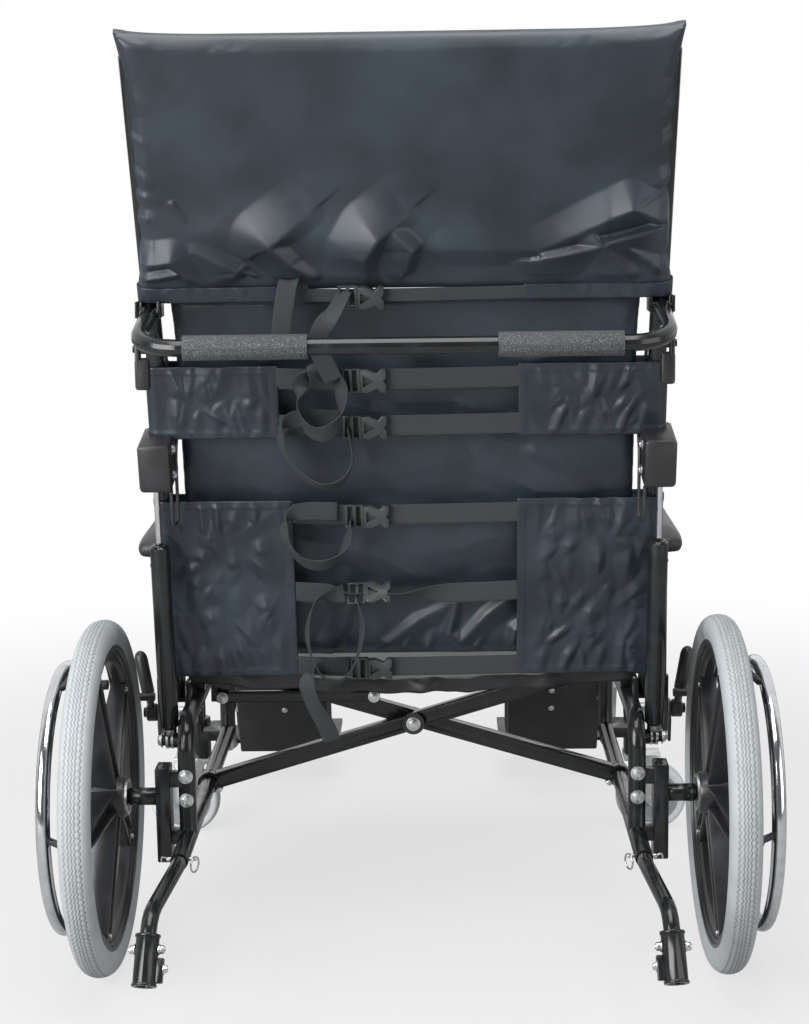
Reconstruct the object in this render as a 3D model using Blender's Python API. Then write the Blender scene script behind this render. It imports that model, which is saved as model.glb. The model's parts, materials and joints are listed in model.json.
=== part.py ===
"""Reclining wheelchair with gas-sprung back, head extension and elevating legrests, built at real size.

Units are metres. +X is the user's right, +Y is forward and +Z is up. Every place along the chair is
measured from the rear axle, and the finished chair is then moved so that the origin lies on the floor
under the middle of its box.
"""

import math

import bmesh
import bpy
from mathutils import Matrix, Vector

# Fits
CLEAR = 0.0003
SIDES = {"left": -1, "right": 1}
TUBE_SIDES = 12

# Rear wheels
WHEEL_DIAMETER = 0.508
WHEEL_X = 0.442
WHEEL_SEGMENTS = 36
TYRE_WIDTH = 0.044
TYRE_HEIGHT = 0.036
RIM_WIDTH = 0.034
RIM_DEPTH = 0.024
RIM_LIP = 0.006
HUB_RADIUS = 0.030
HUB_REACH_IN = 0.0355
HUB_REACH_OUT = 0.030
SPOKES = 5
SPOKE_WIDTH = 0.034
SPOKE_DEPTH_AT_HUB = 0.044
SPOKE_DEPTH_AT_RIM = 0.024
HANDRIM_RADIUS = 0.186
HANDRIM_TUBE_RADIUS = 0.0098
HANDRIM_OFFSET = 0.051
PEG_RADIUS = 0.006
AXLE_RADIUS = 0.0079
AXLE_SLEEVE_RADIUS = 0.010
AXLE_CAP_RADIUS = 0.016
AXLE_CAP_LENGTH = 0.007

# Side frames
FRAME_X = 0.322
FRAME_TUBE_RADIUS = 0.0127
LOWER_RAIL_Z = 0.195
LOWER_RAIL_REAR_Y = -0.110
UPPER_RAIL_Z = 0.360
FRONT_POST_Y = 0.530
FRAME_BEND = 0.040
AXLE_BLOCK_INNER_X = 0.345
AXLE_BLOCK_WIDTH = 0.021
AXLE_BLOCK_DEPTH = 0.036
AXLE_BLOCK_BELOW = 0.094
AXLE_BLOCK_ABOVE = 0.046
AXLE_SPACER_SIZE = 0.020

# Casters
CASTER_STEM_X = 0.375
CASTER_STEM_Y = 0.572
CASTER_DIAMETER = 0.122
CASTER_WIDTH = 0.032
CASTER_TRAIL = 0.030
CASTER_SEGMENTS = 24
CASTER_TYRE_HEIGHT = 0.015
CASTER_BOLT_RADIUS = 0.0045
CASTER_BOSS = 0.009
FORK_PLATE = 0.004
FORK_LEG_WIDTH = 0.030
FORK_CROWN_GAP = 0.006
FORK_CROWN_HEIGHT = 0.010
STEM_RADIUS = 0.008
STEM_LENGTH = 0.062
BARREL_RADIUS = 0.018
BARREL_CAP = 0.006

# Folding cross brace and seat
SEAT_RAIL_LIFT = 0.033
SEAT_RAIL_RADIUS = 0.011
SEAT_RAIL_REAR_Y = 0.140
SEAT_RAIL_FRONT_Y = 0.560
SADDLE_LENGTH = 0.030
SADDLE_WIDTH = 0.020
BRACE_Y = 0.238
BRACE_TUBE_HEIGHT = 0.025
BRACE_TOP_DROP = 0.005
BRACE_TUBE_DEPTH = 0.020
BRACE_TUBE_GAP = 0.0015
BRACE_COLLAR = 0.0045
BRACE_BOLT_RADIUS = 0.006
BRACE_BOLT_HEAD_RADIUS = 0.012
BRACE_BOLT_HEAD = 0.006
LINK_THICKNESS = 0.006
LINK_HEIGHT = 0.018
LINK_BOLT_X = -0.061
LINK_LUG_X = -0.297
LINK_Z = 0.330
LINK_BOLT_RADIUS = 0.008
LINK_TAB = 0.005
SLING_THICKNESS = 0.004
SLING_SAG = 0.018
SLING_OVERHANG = 0.006

# Back: canes, pivot and gas springs
BACK_X = 0.345
BACK_PIVOT_Y = 0.100
BACK_PIVOT_Z = 0.388
BACK_LEAN = math.radians(12)
HEAD_LEAN = math.radians(22)
CANE_RADIUS = 0.0127
CANE_BELOW_PIVOT = 0.012
CANE_BEND_S = 0.539
CANE_BEND = 0.12
CANE_TOP_T = 0.086
CANE_BORE_DEPTH = 0.090
PIVOT_PIN_RADIUS = 0.006
PIVOT_HEAD_RADIUS = 0.010
PIVOT_HEAD = 0.005
PIVOT_PLATE = 0.007
GAS_X = 0.350
GAS_PIVOT_Y = 0.040
GAS_PIVOT_Z = 0.325
GAS_PIN_RADIUS = 0.005
GAS_HEAD_RADIUS = 0.008
GAS_HEAD = 0.005
GAS_LUG = 0.030
GAS_EYE_RADIUS = 0.011
GAS_EYE_WIDTH = 0.011
GAS_BARREL_RADIUS = 0.014
GAS_BARREL_START = 0.020
GAS_BARREL_END = 0.298
GAS_BORE_END = 0.085
GAS_ROD_RADIUS = 0.0045
GAS_ROD_INSIDE = 0.090
ROD_END_RADIUS = 0.0065
ROD_SEAT_S = 0.354
ROD_SEAT_V = -0.036
ROD_DRIFT = 0.0125
ROD_ROOM = 0.0015
HEAD_BOX_BOTTOM_S = 0.332
HEAD_BOX_TOP_S = 0.402
HEAD_BOX_INNER = 0.020
HEAD_BOX_OUTER = 0.025
HEAD_BOX_FRONT_V = 0.018
HEAD_BOX_REAR_V = -0.064
HEAD_BOX_EDGE = 0.006

# Push bar, grips, release levers and cables
BAR_RADIUS = 0.0115
BAR_Y = -0.190
BAR_Z = 0.915
BAR_BEND = 0.055
BAR_CLAMP_T = 0.043
BAR_CHEEK = 0.004
BAR_CHEEK_HALF_HEIGHT = 0.011
GRIP_INNER_X = 0.122
GRIP_LENGTH = 0.160
GRIP_RADIUS = 0.0163
LEVER_Y = -0.112
LEVER_DROP = 0.027
LEVER_EAR = 0.008
LEVER_PLATE = 0.006
LEVER_PIN_RADIUS = 0.003
LEVER_HEAD_RADIUS = 0.005
LEVER_HEAD = 0.003
LEVER_LENGTH = 0.054
LEVER_WIDTH = 0.020
LEVER_PADDLE = 0.018
CABLE_RADIUS = 0.0025
CABLE_SIDES = 7
CABLE_CURVE_STEPS = 4
CABLE_LOOP_RADIUS = 0.008
CABLE_LOOP_DROP = 0.044
CABLE_LOOP_STEPS = 4
CABLE_ENTRY_V = -0.054

# Upholstery
PANEL_SIDE_GAP = 0.033
PANEL_HALF_WIDTH = BACK_X - PANEL_SIDE_GAP
PANEL_BOTTOM_S = 0.040
PANEL_TOP_S = 0.596
PANEL_EDGE = 0.012
PANEL_CROWN = 0.016
FLAP_THICKNESS = 0.003
FLAP_EASE = 0.0006
STRAP_WIDTH = 0.025
STRAP_THICKNESS = 0.0016
MIDDLE_FLAP_WIDTH = 0.163
MIDDLE_FLAP_Z = (0.786, 0.878)
MIDDLE_STRAP_Z = (0.802, 0.864)
LOWER_FLAP_WIDTH = 0.180
LOWER_FLAP_Z = (0.419, 0.684)
LOWER_STRAP_Z = (0.434, 0.548, 0.667)
HEAD_FLAP_WIDTH = 0.178
HEAD_FLAP_HEIGHT = 0.022
HEAD_STRAP_WIDTH = 0.017
HEAD_HALF_WIDTH = 0.3605
HEAD_HEIGHT = 0.345
HEAD_EDGE = 0.034
HEAD_CROWN = 0.008
HEAD_TUCK = 0.004
POST_RADIUS = 0.011
POST_PLUG_RADIUS = 0.0095
POST_PLUG_LENGTH = 0.086
POST_RISE = 0.310

# Armrests
ARM_X = 0.372
ARM_TUBE_RADIUS = 0.0095
ARM_REAR_Y = 0.160
ARM_FRONT_Y = 0.500
ARM_TOP_Z = 0.575
ARM_FOOT_Z = 0.315
ARM_BEND = 0.045
SOCKET_RADIUS = 0.0127
SOCKET_BOTTOM_Z = 0.300
SOCKET_TOP_Z = 0.385
SOCKET_BRIDGE = 0.018
ARM_PAD_WIDTH = 0.058
ARM_PAD_REAR_Y = 0.085
ARM_PAD_LENGTH = 0.390
ARM_PAD_EDGE = 0.022
ARM_PAD_CROWN = 0.012
ARM_PAD_TUCK = 0.003
GUARD_THICKNESS = 0.003
GUARD_BOTTOM_Z = 0.400
GUARD_CHAMFER = 0.040

# Wheel locks
LOCK_REACH = 0.0335
LOCK_Z = 0.297
LOCK_BAR_RADIUS = 0.008
LOCK_BAR_END_X = 0.426
LOCK_HUB_RADIUS = 0.014
LOCK_HUB_X = 0.405
LOCK_HUB_WIDTH = 0.016
LOCK_GRIP_RADIUS = 0.010
LOCK_GRIP_TOP = (0.019, 0.012, 0.097)
LOCK_GRIP_START = 0.030
LOCK_SHOE_RADIUS = 0.0065
LOCK_SHOE = (-0.018, 0.030)
LOCK_SHOE_END_X = 0.460
LOCK_PLATE = 0.008

# Anti-tippers
ANTITIP_RADIUS = 0.0108
ANTITIP_PLUG = 0.070
ANTITIP_BEND_Y = -0.290
ANTITIP_BEND_Z = 0.190
ANTITIP_END_Y = -0.338
ANTITIP_END_Z = 0.112
ANTITIP_FLARE = 0.018
ANTITIP_BEND = 0.045
SLEEVE_RADIUS = 0.0155
SLEEVE_LENGTH = 0.066

# Legrests
HANGER_Y = 0.566
HANGER_RADIUS = 0.011
HANGER_BOTTOM_Z = 0.236
HANGER_TOP_Z = 0.352
HANGER_PIN_RADIUS = 0.005
HANGER_LUG = 0.010
HANGER_ARM_RADIUS = 0.0098
HANGER_STRAIGHT = 0.045
HANGER_BEND = 0.050
KNEE_X = 0.350
KNEE_Y = 0.700
KNEE_Z = 0.335
KNEE_RADIUS = 0.013
KNEE_WIDTH = 0.020
KNEE_CHEEK = 0.005
KNEE_PIN_RADIUS = 0.005
KNEE_WEB = 0.014
LEG_RADIUS = 0.0125
LEG_START = 0.026
FOOT_Y = 0.805
FOOT_Z = 0.085
FOOT_PIN_RADIUS = 0.008
FOOT_PIN_LENGTH = 0.095
FOOT_SLEEVE_RADIUS = 0.013
FOOT_SLEEVE_LENGTH = 0.070
FOOT_GAP = 0.020
FOOT_LENGTH = 0.140
FOOT_WIDTH = 0.190
FOOT_THICKNESS = 0.007
CALF_INNER_X = 0.157
CALF_OUTER_X = 0.334
CALF_TOP_S = 0.100
CALF_LENGTH = 0.170
CALF_EDGE = 0.022
CALF_CROWN = 0.012
CALF_TUCK = 0.004
CALF_BRACKET = 0.052
CALF_REAR_V = -0.022
CALF_PLATE = 0.003
CALF_PLATE_X = 0.214
CALF_PLATE_DROP = 0.020

FINISHES = {
    "black_paint": ((0.012, 0.012, 0.014), 0.22, 0.0),
    "chrome": ((0.78, 0.79, 0.81), 0.12, 1.0),
    "zinc_steel": ((0.60, 0.61, 0.62), 0.32, 1.0),
    "black_plastic": ((0.018, 0.018, 0.020), 0.45, 0.0),
    "grey_tyre": ((0.55, 0.58, 0.60), 0.75, 0.0),
    "grey_foam": ((0.115, 0.120, 0.128), 0.95, 0.0),
    "navy_nylon": ((0.026, 0.031, 0.044), 0.42, 0.0),
    "black_vinyl": ((0.016, 0.016, 0.018), 0.55, 0.0),
    "silver_paint": ((0.42, 0.44, 0.46), 0.35, 0.6),
}


def clear_scene():
    """Removes every object that the scene starts with."""
    for obj in list(bpy.data.objects):
        bpy.data.objects.remove(obj, do_unlink=True)


def finish(piece, name):
    """A piece's own Principled material in the named finish."""
    colour, roughness, metallic = FINISHES[name]
    made = bpy.data.materials.new(piece)
    made.use_nodes = True
    shader = made.node_tree.nodes["Principled BSDF"]
    shader.inputs["Base Color"].default_value = (*colour, 1.0)
    shader.inputs["Roughness"].default_value = roughness
    shader.inputs["Metallic"].default_value = metallic
    return made


def body(name, place, parent):
    """An empty on a joint's axis, which carries the pieces that move about it."""
    empty = bpy.data.objects.new(name, None)
    bpy.context.scene.collection.objects.link(empty)
    empty.parent = parent
    empty.location = Vector(place) - (joint_place(parent) if parent else Vector())
    return empty


def joint_place(empty):
    """Where an empty stands, measured from the rear axle."""
    place = Vector()
    while empty:
        place += empty.location
        empty = empty.parent
    return place


def as_object(bm, name="helper"):
    """A mesh object from a bmesh, with its faces turned outwards."""
    bmesh.ops.remove_doubles(bm, verts=bm.verts, dist=1e-6)
    bmesh.ops.recalc_face_normals(bm, faces=bm.faces)
    mesh = bpy.data.meshes.new(name)
    bm.to_mesh(mesh)
    bm.free()
    obj = bpy.data.objects.new(name, mesh)
    bpy.context.scene.collection.objects.link(obj)
    return obj


def merge_close_points(mesh):
    """Merges points that a joint left a hair apart."""
    bm = bmesh.new()
    bm.from_mesh(mesh)
    bmesh.ops.remove_doubles(bm, verts=bm.verts, dist=3e-6)
    bm.to_mesh(mesh)
    bm.free()


def combine(base, solids, operation):
    """Joins a mesh object with solids, or cuts them out of it, and keeps only the result."""
    if not solids:
        return
    group = bpy.data.collections.new(operation)
    for solid in solids:
        group.objects.link(as_object(solid))
    change = base.modifiers.new(operation, "BOOLEAN")
    change.operation = operation
    change.solver = "EXACT"
    change.operand_type = "COLLECTION"
    change.collection = group
    graph = bpy.context.evaluated_depsgraph_get()
    result = bpy.data.meshes.new_from_object(base.evaluated_get(graph))
    base.modifiers.remove(change)
    base.data = result
    merge_close_points(result)
    for tool in list(group.objects):
        bpy.data.objects.remove(tool, do_unlink=True)
    bpy.data.collections.remove(group)


def make(name, solids, finish_name, carrier, holes=()):
    """One named piece: solids joined, holes cut, finished, and hung on its body's empty."""
    obj = as_object(solids[0], name)
    combine(obj, solids[1:], "UNION")
    combine(obj, holes, "DIFFERENCE")
    obj.data.name = name
    obj.data.transform(Matrix.Translation(-joint_place(carrier)))
    obj.data.shade_smooth()
    obj.data.set_sharp_from_angle(angle=math.radians(35))
    obj.data.materials.clear()
    obj.data.materials.append(finish(name, finish_name))
    obj.parent = carrier
    return obj


def bridge(bm, first, second):
    """Faces between two rings of as many points."""
    for i, corner in enumerate(first):
        after = (i + 1) % len(first)
        bm.faces.new((corner, first[after], second[after], second[i]))


def sweep(path, radius, sides=TUBE_SIDES):
    """A round bar along a path, with flat ends. The radius is one number or one for each point."""
    radii = radius if isinstance(radius, (list, tuple)) else [radius] * len(path)
    bm = bmesh.new()
    path = [Vector(point) for point in path]
    normal = (path[1] - path[0]).orthogonal().normalized()
    rings = []
    for i, point in enumerate(path):
        along = (path[min(i + 1, len(path) - 1)] - path[max(i - 1, 0)]).normalized()
        normal = (normal - along * normal.dot(along)).normalized()
        across = along.cross(normal)
        turns = [2 * math.pi * k / sides for k in range(sides)]
        around = [math.cos(a) * normal + math.sin(a) * across for a in turns]
        rings.append([bm.verts.new(point + radii[i] * out) for out in around])
    for first, second in zip(rings, rings[1:]):
        bridge(bm, first, second)
    bm.faces.new(rings[0])
    bm.faces.new(rings[-1])
    return bm


def bent(points, radius, steps=4):
    """A path through the points with each inner corner rounded to the radius."""
    points = [Vector(point) for point in points]
    path = [points[0]]
    for before, corner, after in zip(points, points[1:], points[2:]):
        back, on = (before - corner).normalized(), (after - corner).normalized()
        half = back.angle(on) / 2
        middle = corner + (back + on).normalized() * radius / math.sin(half)
        start = (corner + back * radius / math.tan(half) - middle).normalized()
        end = (corner + on * radius / math.tan(half) - middle).normalized()
        path += [middle + radius * start.slerp(end, k / steps) for k in range(steps + 1)]
    return path + [points[-1]]


def smooth(points, steps):
    """A smooth curve through the points, with as many steps between each two."""
    points = [Vector(point) for point in points]
    ends = [2 * points[0] - points[1], *points, 2 * points[-1] - points[-2]]
    path = []
    for a, b, c, d in zip(ends, ends[1:], ends[2:], ends[3:]):
        for k in range(steps):
            t = k / steps
            square, cube = 2 * a - 5 * b + 4 * c - d, 3 * b - a - 3 * c + d
            path.append(0.5 * (2 * b + (c - a) * t + square * t**2 + cube * t**3))
    return path + [points[-1]]


def turned(centre, axis, profile, segments, start=None):
    """A turned solid. The profile is a loop of (along the axis, radius) points."""
    axis = Vector(axis).normalized()
    out = Vector(start) if start else (Vector((0, 0, 1)) if abs(axis.z) < 0.9 else Vector((1, 0, 0)))
    out = (out - axis * out.dot(axis)).normalized()
    across = axis.cross(out)
    bm = bmesh.new()
    rings = []
    for along, radius in profile:
        turns = [2 * math.pi * k / segments for k in range(segments)] if radius > 0 else [0]
        centre_here = Vector(centre) + axis * along
        around = [math.cos(a) * out + math.sin(a) * across for a in turns]
        rings.append([bm.verts.new(centre_here + radius * ray) for ray in around])
    for first, second in zip(rings, rings[1:] + rings[:1]):
        if len(first) == len(second) == 1:
            continue
        if len(first) == 1 or len(second) == 1:
            hub, rim = (first[0], second) if len(first) == 1 else (second[0], first)
            for i, corner in enumerate(rim):
                bm.faces.new((hub, corner, rim[(i + 1) % segments]))
        else:
            bridge(bm, first, second)
    return bm


def rod(start, end, radius, segments=TUBE_SIDES):
    """A plain round bar between two points."""
    start, end = Vector(start), Vector(end)
    length = (end - start).length
    return turned(start, end - start, [(0, 0), (0, radius), (length, radius), (length, 0)], segments)


def pipe(start, end, inner, outer, segments=TUBE_SIDES):
    """A round tube between two points, open at both ends."""
    start, end = Vector(start), Vector(end)
    length = (end - start).length
    return turned(start, end - start, [(0, inner), (0, outer), (length, outer), (length, inner)], segments)


def clear_of(radius, segments=TUBE_SIDES):
    """Corner radius of a many-sided hole whose flats still clear a round bar."""
    return (radius + CLEAR) / math.cos(math.pi / segments)


def bore(start, end, radius):
    """A cutter for the hole that a round bar of the radius goes through."""
    return rod(start, end, clear_of(radius))


def prism(outline, depth):
    """A flat outline pushed out along a vector."""
    bm = bmesh.new()
    low = [bm.verts.new(Vector(point)) for point in outline]
    high = [bm.verts.new(Vector(point) + Vector(depth)) for point in outline]
    bridge(bm, low, high)
    bm.faces.new(low)
    bm.faces.new(high)
    return bm


def block(low, high, bevel=0.0):
    """A box between two corners, with its edges cut back where a bevel is given."""
    low, high = Vector(map(min, low, high)), Vector(map(max, low, high))
    bm = bmesh.new()
    bmesh.ops.create_cube(bm, size=1.0)
    size = high - low
    for vert in bm.verts:
        vert.co = (low + high) / 2 + Vector(c * s for c, s in zip(vert.co, size))
    if bevel:
        bmesh.ops.bevel(bm, geom=bm.edges[:], offset=bevel, segments=2, profile=0.5, affect="EDGES")
    return bm


def evenly(steps, reach=1.0):
    """Places from -reach to reach, evenly apart."""
    return [reach * (2 * i / steps - 1) for i in range(steps + 1)]


def pillow(place, width, length, shape, across, lengthwise, tuck=0.0):
    """A padded form: two crowned faces joined all round.

    place(u, w, v) gives the point at u across, w along and v through. shape(a, b) gives the two
    faces' heights at a and b, which run from -1 to 1 across and along, through the places given in
    across and lengthwise. The sides draw in by tuck.
    """
    bm = bmesh.new()
    faces = ([], [])
    columns, rows = len(across) - 1, len(lengthwise) - 1
    for b in lengthwise:
        for face in faces:
            face.append([])
        for a in across:
            u = a * (width / 2 - tuck * math.cos(b * math.pi / 2))
            w = b * (length / 2 - tuck * math.cos(a * math.pi / 2))
            for face, v in zip(faces, shape(a, b)):
                face[-1].append(bm.verts.new(place(u, w, v)))
    for face in faces:
        for j in range(rows):
            for i in range(columns):
                bm.faces.new((face[j][i], face[j][i + 1], face[j + 1][i + 1], face[j + 1][i]))
    around = [(0, i) for i in range(columns)] + [(j, columns) for j in range(rows)]
    around += [(rows, i) for i in range(columns, 0, -1)] + [(j, 0) for j in range(rows, 0, -1)]
    bridge(bm, [faces[0][j][i] for j, i in around], [faces[1][j][i] for j, i in around])
    return bm


def swell(a, b, power=4):
    """How full a cushion is at a place: 1 in the middle, 0 at its edges."""
    return (1 - abs(a) ** power) * (1 - abs(b) ** power)


def back_point(x, s, v=0.0):
    """A point on the back: s up along the canes from the pivot, v forward of their axes."""
    y = BACK_PIVOT_Y - s * math.sin(BACK_LEAN) + v * math.cos(BACK_LEAN)
    return Vector((x, y, BACK_PIVOT_Z + s * math.cos(BACK_LEAN) + v * math.sin(BACK_LEAN)))


def head_point(x, t, v=0.0):
    """A point on the upper back: t up along the canes from their bend, v forward of their axes."""
    bend = back_point(x, CANE_BEND_S)
    y = bend.y - t * math.sin(HEAD_LEAN) + v * math.cos(HEAD_LEAN)
    return Vector((x, y, bend.z + t * math.cos(HEAD_LEAN) + v * math.sin(HEAD_LEAN)))


def back_s(z):
    """How far up the canes a height is."""
    return (z - BACK_PIVOT_Z) / math.cos(BACK_LEAN)


def leg_point(x, s, v=0.0):
    """A point on a legrest: s down along its tube from the knee, v forward of its axis."""
    down = Vector((0, FOOT_Y - KNEE_Y, FOOT_Z - KNEE_Z)).normalized()
    front = Vector((0, -down.z, down.y))
    return Vector((x, KNEE_Y, KNEE_Z)) + s * down + v * front


AXLE_Z = WHEEL_DIAMETER / 2
LOCK_Y = WHEEL_DIAMETER / 2 + LOCK_REACH
TYRE_INNER = WHEEL_DIAMETER / 2 - TYRE_HEIGHT
RIM_OUTER = TYRE_INNER - CLEAR
RIM_INNER = RIM_OUTER - RIM_DEPTH
AXLE_BLOCK_OUTER_X = AXLE_BLOCK_INNER_X + AXLE_BLOCK_WIDTH
SEAT_RAIL_Z = UPPER_RAIL_Z + SEAT_RAIL_LIFT
CASTER_RADIUS = CASTER_DIAMETER / 2
CROWN_BOTTOM_Z = CASTER_DIAMETER + FORK_CROWN_GAP
CROWN_TOP_Z = CROWN_BOTTOM_Z + FORK_CROWN_HEIGHT
STEM_TOP_Z = CROWN_TOP_Z + STEM_LENGTH
BARREL_TOP_Z = STEM_TOP_Z + CLEAR + BARREL_CAP
FRAME_FACE_X = FRAME_X + FRAME_TUBE_RADIUS


def rear_wheel(side, sign, carrier):
    """Composite wheel with box spokes, its tyre and its push rim."""
    x = sign * WHEEL_X
    axis = (sign, 0, 0)
    hub_centre = (x, 0, AXLE_Z)
    half_tyre, half_rim = TYRE_WIDTH / 2, RIM_WIDTH / 2
    outer = WHEEL_DIAMETER / 2
    shoulder = TYRE_HEIGHT * 0.35
    tyre = [
        (-half_rim, TYRE_INNER), (-half_tyre, TYRE_INNER + shoulder), (-half_tyre * 0.86, outer - shoulder),
        (-half_tyre * 0.45, outer - shoulder / 6), (0, outer), (half_tyre * 0.45, outer - shoulder / 6),
        (half_tyre * 0.86, outer - shoulder), (half_tyre, TYRE_INNER + shoulder), (half_rim, TYRE_INNER),
    ]
    make(f"tyre_{side}", [turned(hub_centre, axis, tyre, WHEEL_SEGMENTS)], "grey_tyre", carrier)
    rim = [
        (-half_rim, RIM_OUTER), (-half_rim, RIM_OUTER - RIM_LIP), (-half_rim + RIM_LIP, RIM_INNER),
        (half_rim - RIM_LIP, RIM_INNER), (half_rim, RIM_OUTER - RIM_LIP), (half_rim, RIM_OUTER),
    ]
    hub = [(-HUB_REACH_IN, 0), (-HUB_REACH_IN, HUB_RADIUS), (HUB_REACH_OUT, HUB_RADIUS), (HUB_REACH_OUT, 0)]
    solids = [turned(hub_centre, axis, rim, WHEEL_SEGMENTS), turned(hub_centre, axis, hub, 20)]
    solids += [spoke(x, 2 * math.pi * k / SPOKES + math.pi) for k in range(SPOKES)]
    hole = bore((x - 0.1, 0, AXLE_Z), (x + 0.1, 0, AXLE_Z), AXLE_RADIUS)
    make(f"rear_wheel_{side}", solids, "black_plastic", carrier, [hole])
    push_rim(side, sign, carrier)


def spoke(x, turn):
    """One box spoke, deep at the hub and shallow at the rim, at a turn about the axle."""
    out = Vector((0, math.cos(turn), math.sin(turn)))
    across = Vector((0, -math.sin(turn), math.cos(turn)))
    centre = Vector((x, 0, AXLE_Z))
    start, end = HUB_RADIUS * 0.75, RIM_INNER + RIM_DEPTH / 4
    outline = []
    for reach, half_depth in ((start, SPOKE_DEPTH_AT_HUB / 2), (end, SPOKE_DEPTH_AT_RIM / 2)):
        outline.append(centre + out * reach + Vector((-half_depth, 0, 0)))
        outline.append(centre + out * reach + Vector((half_depth, 0, 0)))
    outline = [outline[0], outline[1], outline[3], outline[2]]
    return prism([point - across * SPOKE_WIDTH / 2 for point in outline], across * SPOKE_WIDTH)


def push_rim(side, sign, carrier):
    """Chrome push rim on its pegs."""
    x = sign * (WHEEL_X + HANDRIM_OFFSET)
    tube = [2 * math.pi * k / 8 for k in range(8)]
    profile = [
        (HANDRIM_TUBE_RADIUS * math.cos(a), HANDRIM_RADIUS + HANDRIM_TUBE_RADIUS * math.sin(a)) for a in tube
    ]
    solids = [turned((x, 0, AXLE_Z), (1, 0, 0), profile, WHEEL_SEGMENTS)]
    foot_x = sign * (WHEEL_X + RIM_WIDTH / 2 + CLEAR)
    peg_ring = RIM_OUTER - RIM_LIP - PEG_RADIUS
    for k in range(SPOKES):
        turn = 2 * math.pi * k / SPOKES + math.pi
        at = (math.cos(turn), math.sin(turn))
        foot = (foot_x, peg_ring * at[0], AXLE_Z + peg_ring * at[1])
        top = (x, HANDRIM_RADIUS * at[0], AXLE_Z + HANDRIM_RADIUS * at[1])
        knee = (foot_x + sign * 0.010, foot[1], foot[2])
        solids.append(sweep([foot, knee, top], PEG_RADIUS, 8))
    make(f"handrim_{side}", solids, "chrome", carrier)


def rear_axle(side, sign, carrier):
    """Axle with its spacing sleeve, from the axle block through the hub."""
    start = AXLE_BLOCK_OUTER_X + CLEAR
    sleeve_end = WHEEL_X - HUB_REACH_IN - CLEAR
    cap_start = WHEEL_X + HUB_REACH_OUT + CLEAR
    profile = [
        (0, 0), (0, AXLE_SLEEVE_RADIUS),
        (sleeve_end - start, AXLE_SLEEVE_RADIUS), (sleeve_end - start, AXLE_RADIUS),
        (cap_start - start, AXLE_RADIUS), (cap_start - start, AXLE_CAP_RADIUS),
        (cap_start - start + AXLE_CAP_LENGTH, AXLE_CAP_RADIUS), (cap_start - start + AXLE_CAP_LENGTH, 0),
    ]
    solid = turned((sign * start, 0, AXLE_Z), (sign, 0, 0), profile, TUBE_SIDES)
    make(f"rear_axle_{side}", [solid], "black_paint", carrier)


def side_frame(side, sign, carrier):
    """Welded side frame with every bracket, socket and pin that it carries."""
    x = sign * FRAME_X
    loop = bent(
        [
            (x, 0, LOWER_RAIL_Z), (x, 0, UPPER_RAIL_Z),
            (x, FRONT_POST_Y, UPPER_RAIL_Z), (x, FRONT_POST_Y, LOWER_RAIL_Z),
        ],
        FRAME_BEND,
    )
    front_end = FRONT_POST_Y + FRAME_TUBE_RADIUS
    solids = [
        sweep([(x, LOWER_RAIL_REAR_Y, LOWER_RAIL_Z), (x, front_end, LOWER_RAIL_Z)], FRAME_TUBE_RADIUS),
        sweep(loop, FRAME_TUBE_RADIUS),
    ]
    solids += axle_block(sign) + back_bracket(sign) + gas_bracket(sign) + arm_sockets(sign)
    solids += caster_barrel(sign) + hanger_lugs(sign) + lock_bracket(sign) + seat_saddles(sign)
    if sign < 0:
        lug_y = BRACE_Y + BRACE_TUBE_DEPTH + BRACE_TUBE_GAP
        lug_low = (LINK_LUG_X + LINK_HEIGHT / 2, lug_y, LINK_Z - LINK_HEIGHT / 2)
        solids.append(block(lug_low, (x + FRAME_TUBE_RADIUS / 2, lug_y + LINK_TAB, UPPER_RAIL_Z)))
    plug_end = LOWER_RAIL_REAR_Y + ANTITIP_PLUG + FRAME_TUBE_RADIUS
    holes = [bore((x, LOWER_RAIL_REAR_Y - 0.01, LOWER_RAIL_Z), (x, plug_end, LOWER_RAIL_Z), ANTITIP_RADIUS)]
    for y in (ARM_REAR_Y, ARM_FRONT_Y):
        socket = (sign * ARM_X, y, ARM_FOOT_Z - CLEAR)
        holes.append(bore(socket, (sign * ARM_X, y, SOCKET_TOP_Z + 0.01), ARM_TUBE_RADIUS))
    stem = (sign * CASTER_STEM_X, CASTER_STEM_Y, CROWN_TOP_Z - 0.01)
    holes.append(bore(stem, (stem[0], stem[1], STEM_TOP_Z + CLEAR), STEM_RADIUS))
    make(f"side_frame_{side}", solids, "black_paint", carrier, holes)


def axle_block(sign):
    """Upright axle block outside the rear post, on two spacers."""
    half = AXLE_BLOCK_DEPTH / 2
    bottom, top = AXLE_Z - AXLE_BLOCK_BELOW, AXLE_Z + AXLE_BLOCK_ABOVE
    low, high = (sign * AXLE_BLOCK_INNER_X, -half, bottom), (sign * AXLE_BLOCK_OUTER_X, half, top)
    solids = [block(low, high, 0.002)]
    for z in (LOWER_RAIL_Z, top - AXLE_SPACER_SIZE):
        low = (sign * (FRAME_X + FRAME_TUBE_RADIUS / 2), -AXLE_SPACER_SIZE / 2, z - AXLE_SPACER_SIZE / 2)
        high = (sign * (AXLE_BLOCK_INNER_X + 0.003), AXLE_SPACER_SIZE / 2, z + AXLE_SPACER_SIZE / 2)
        solids.append(block(low, high))
    return solids


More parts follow.
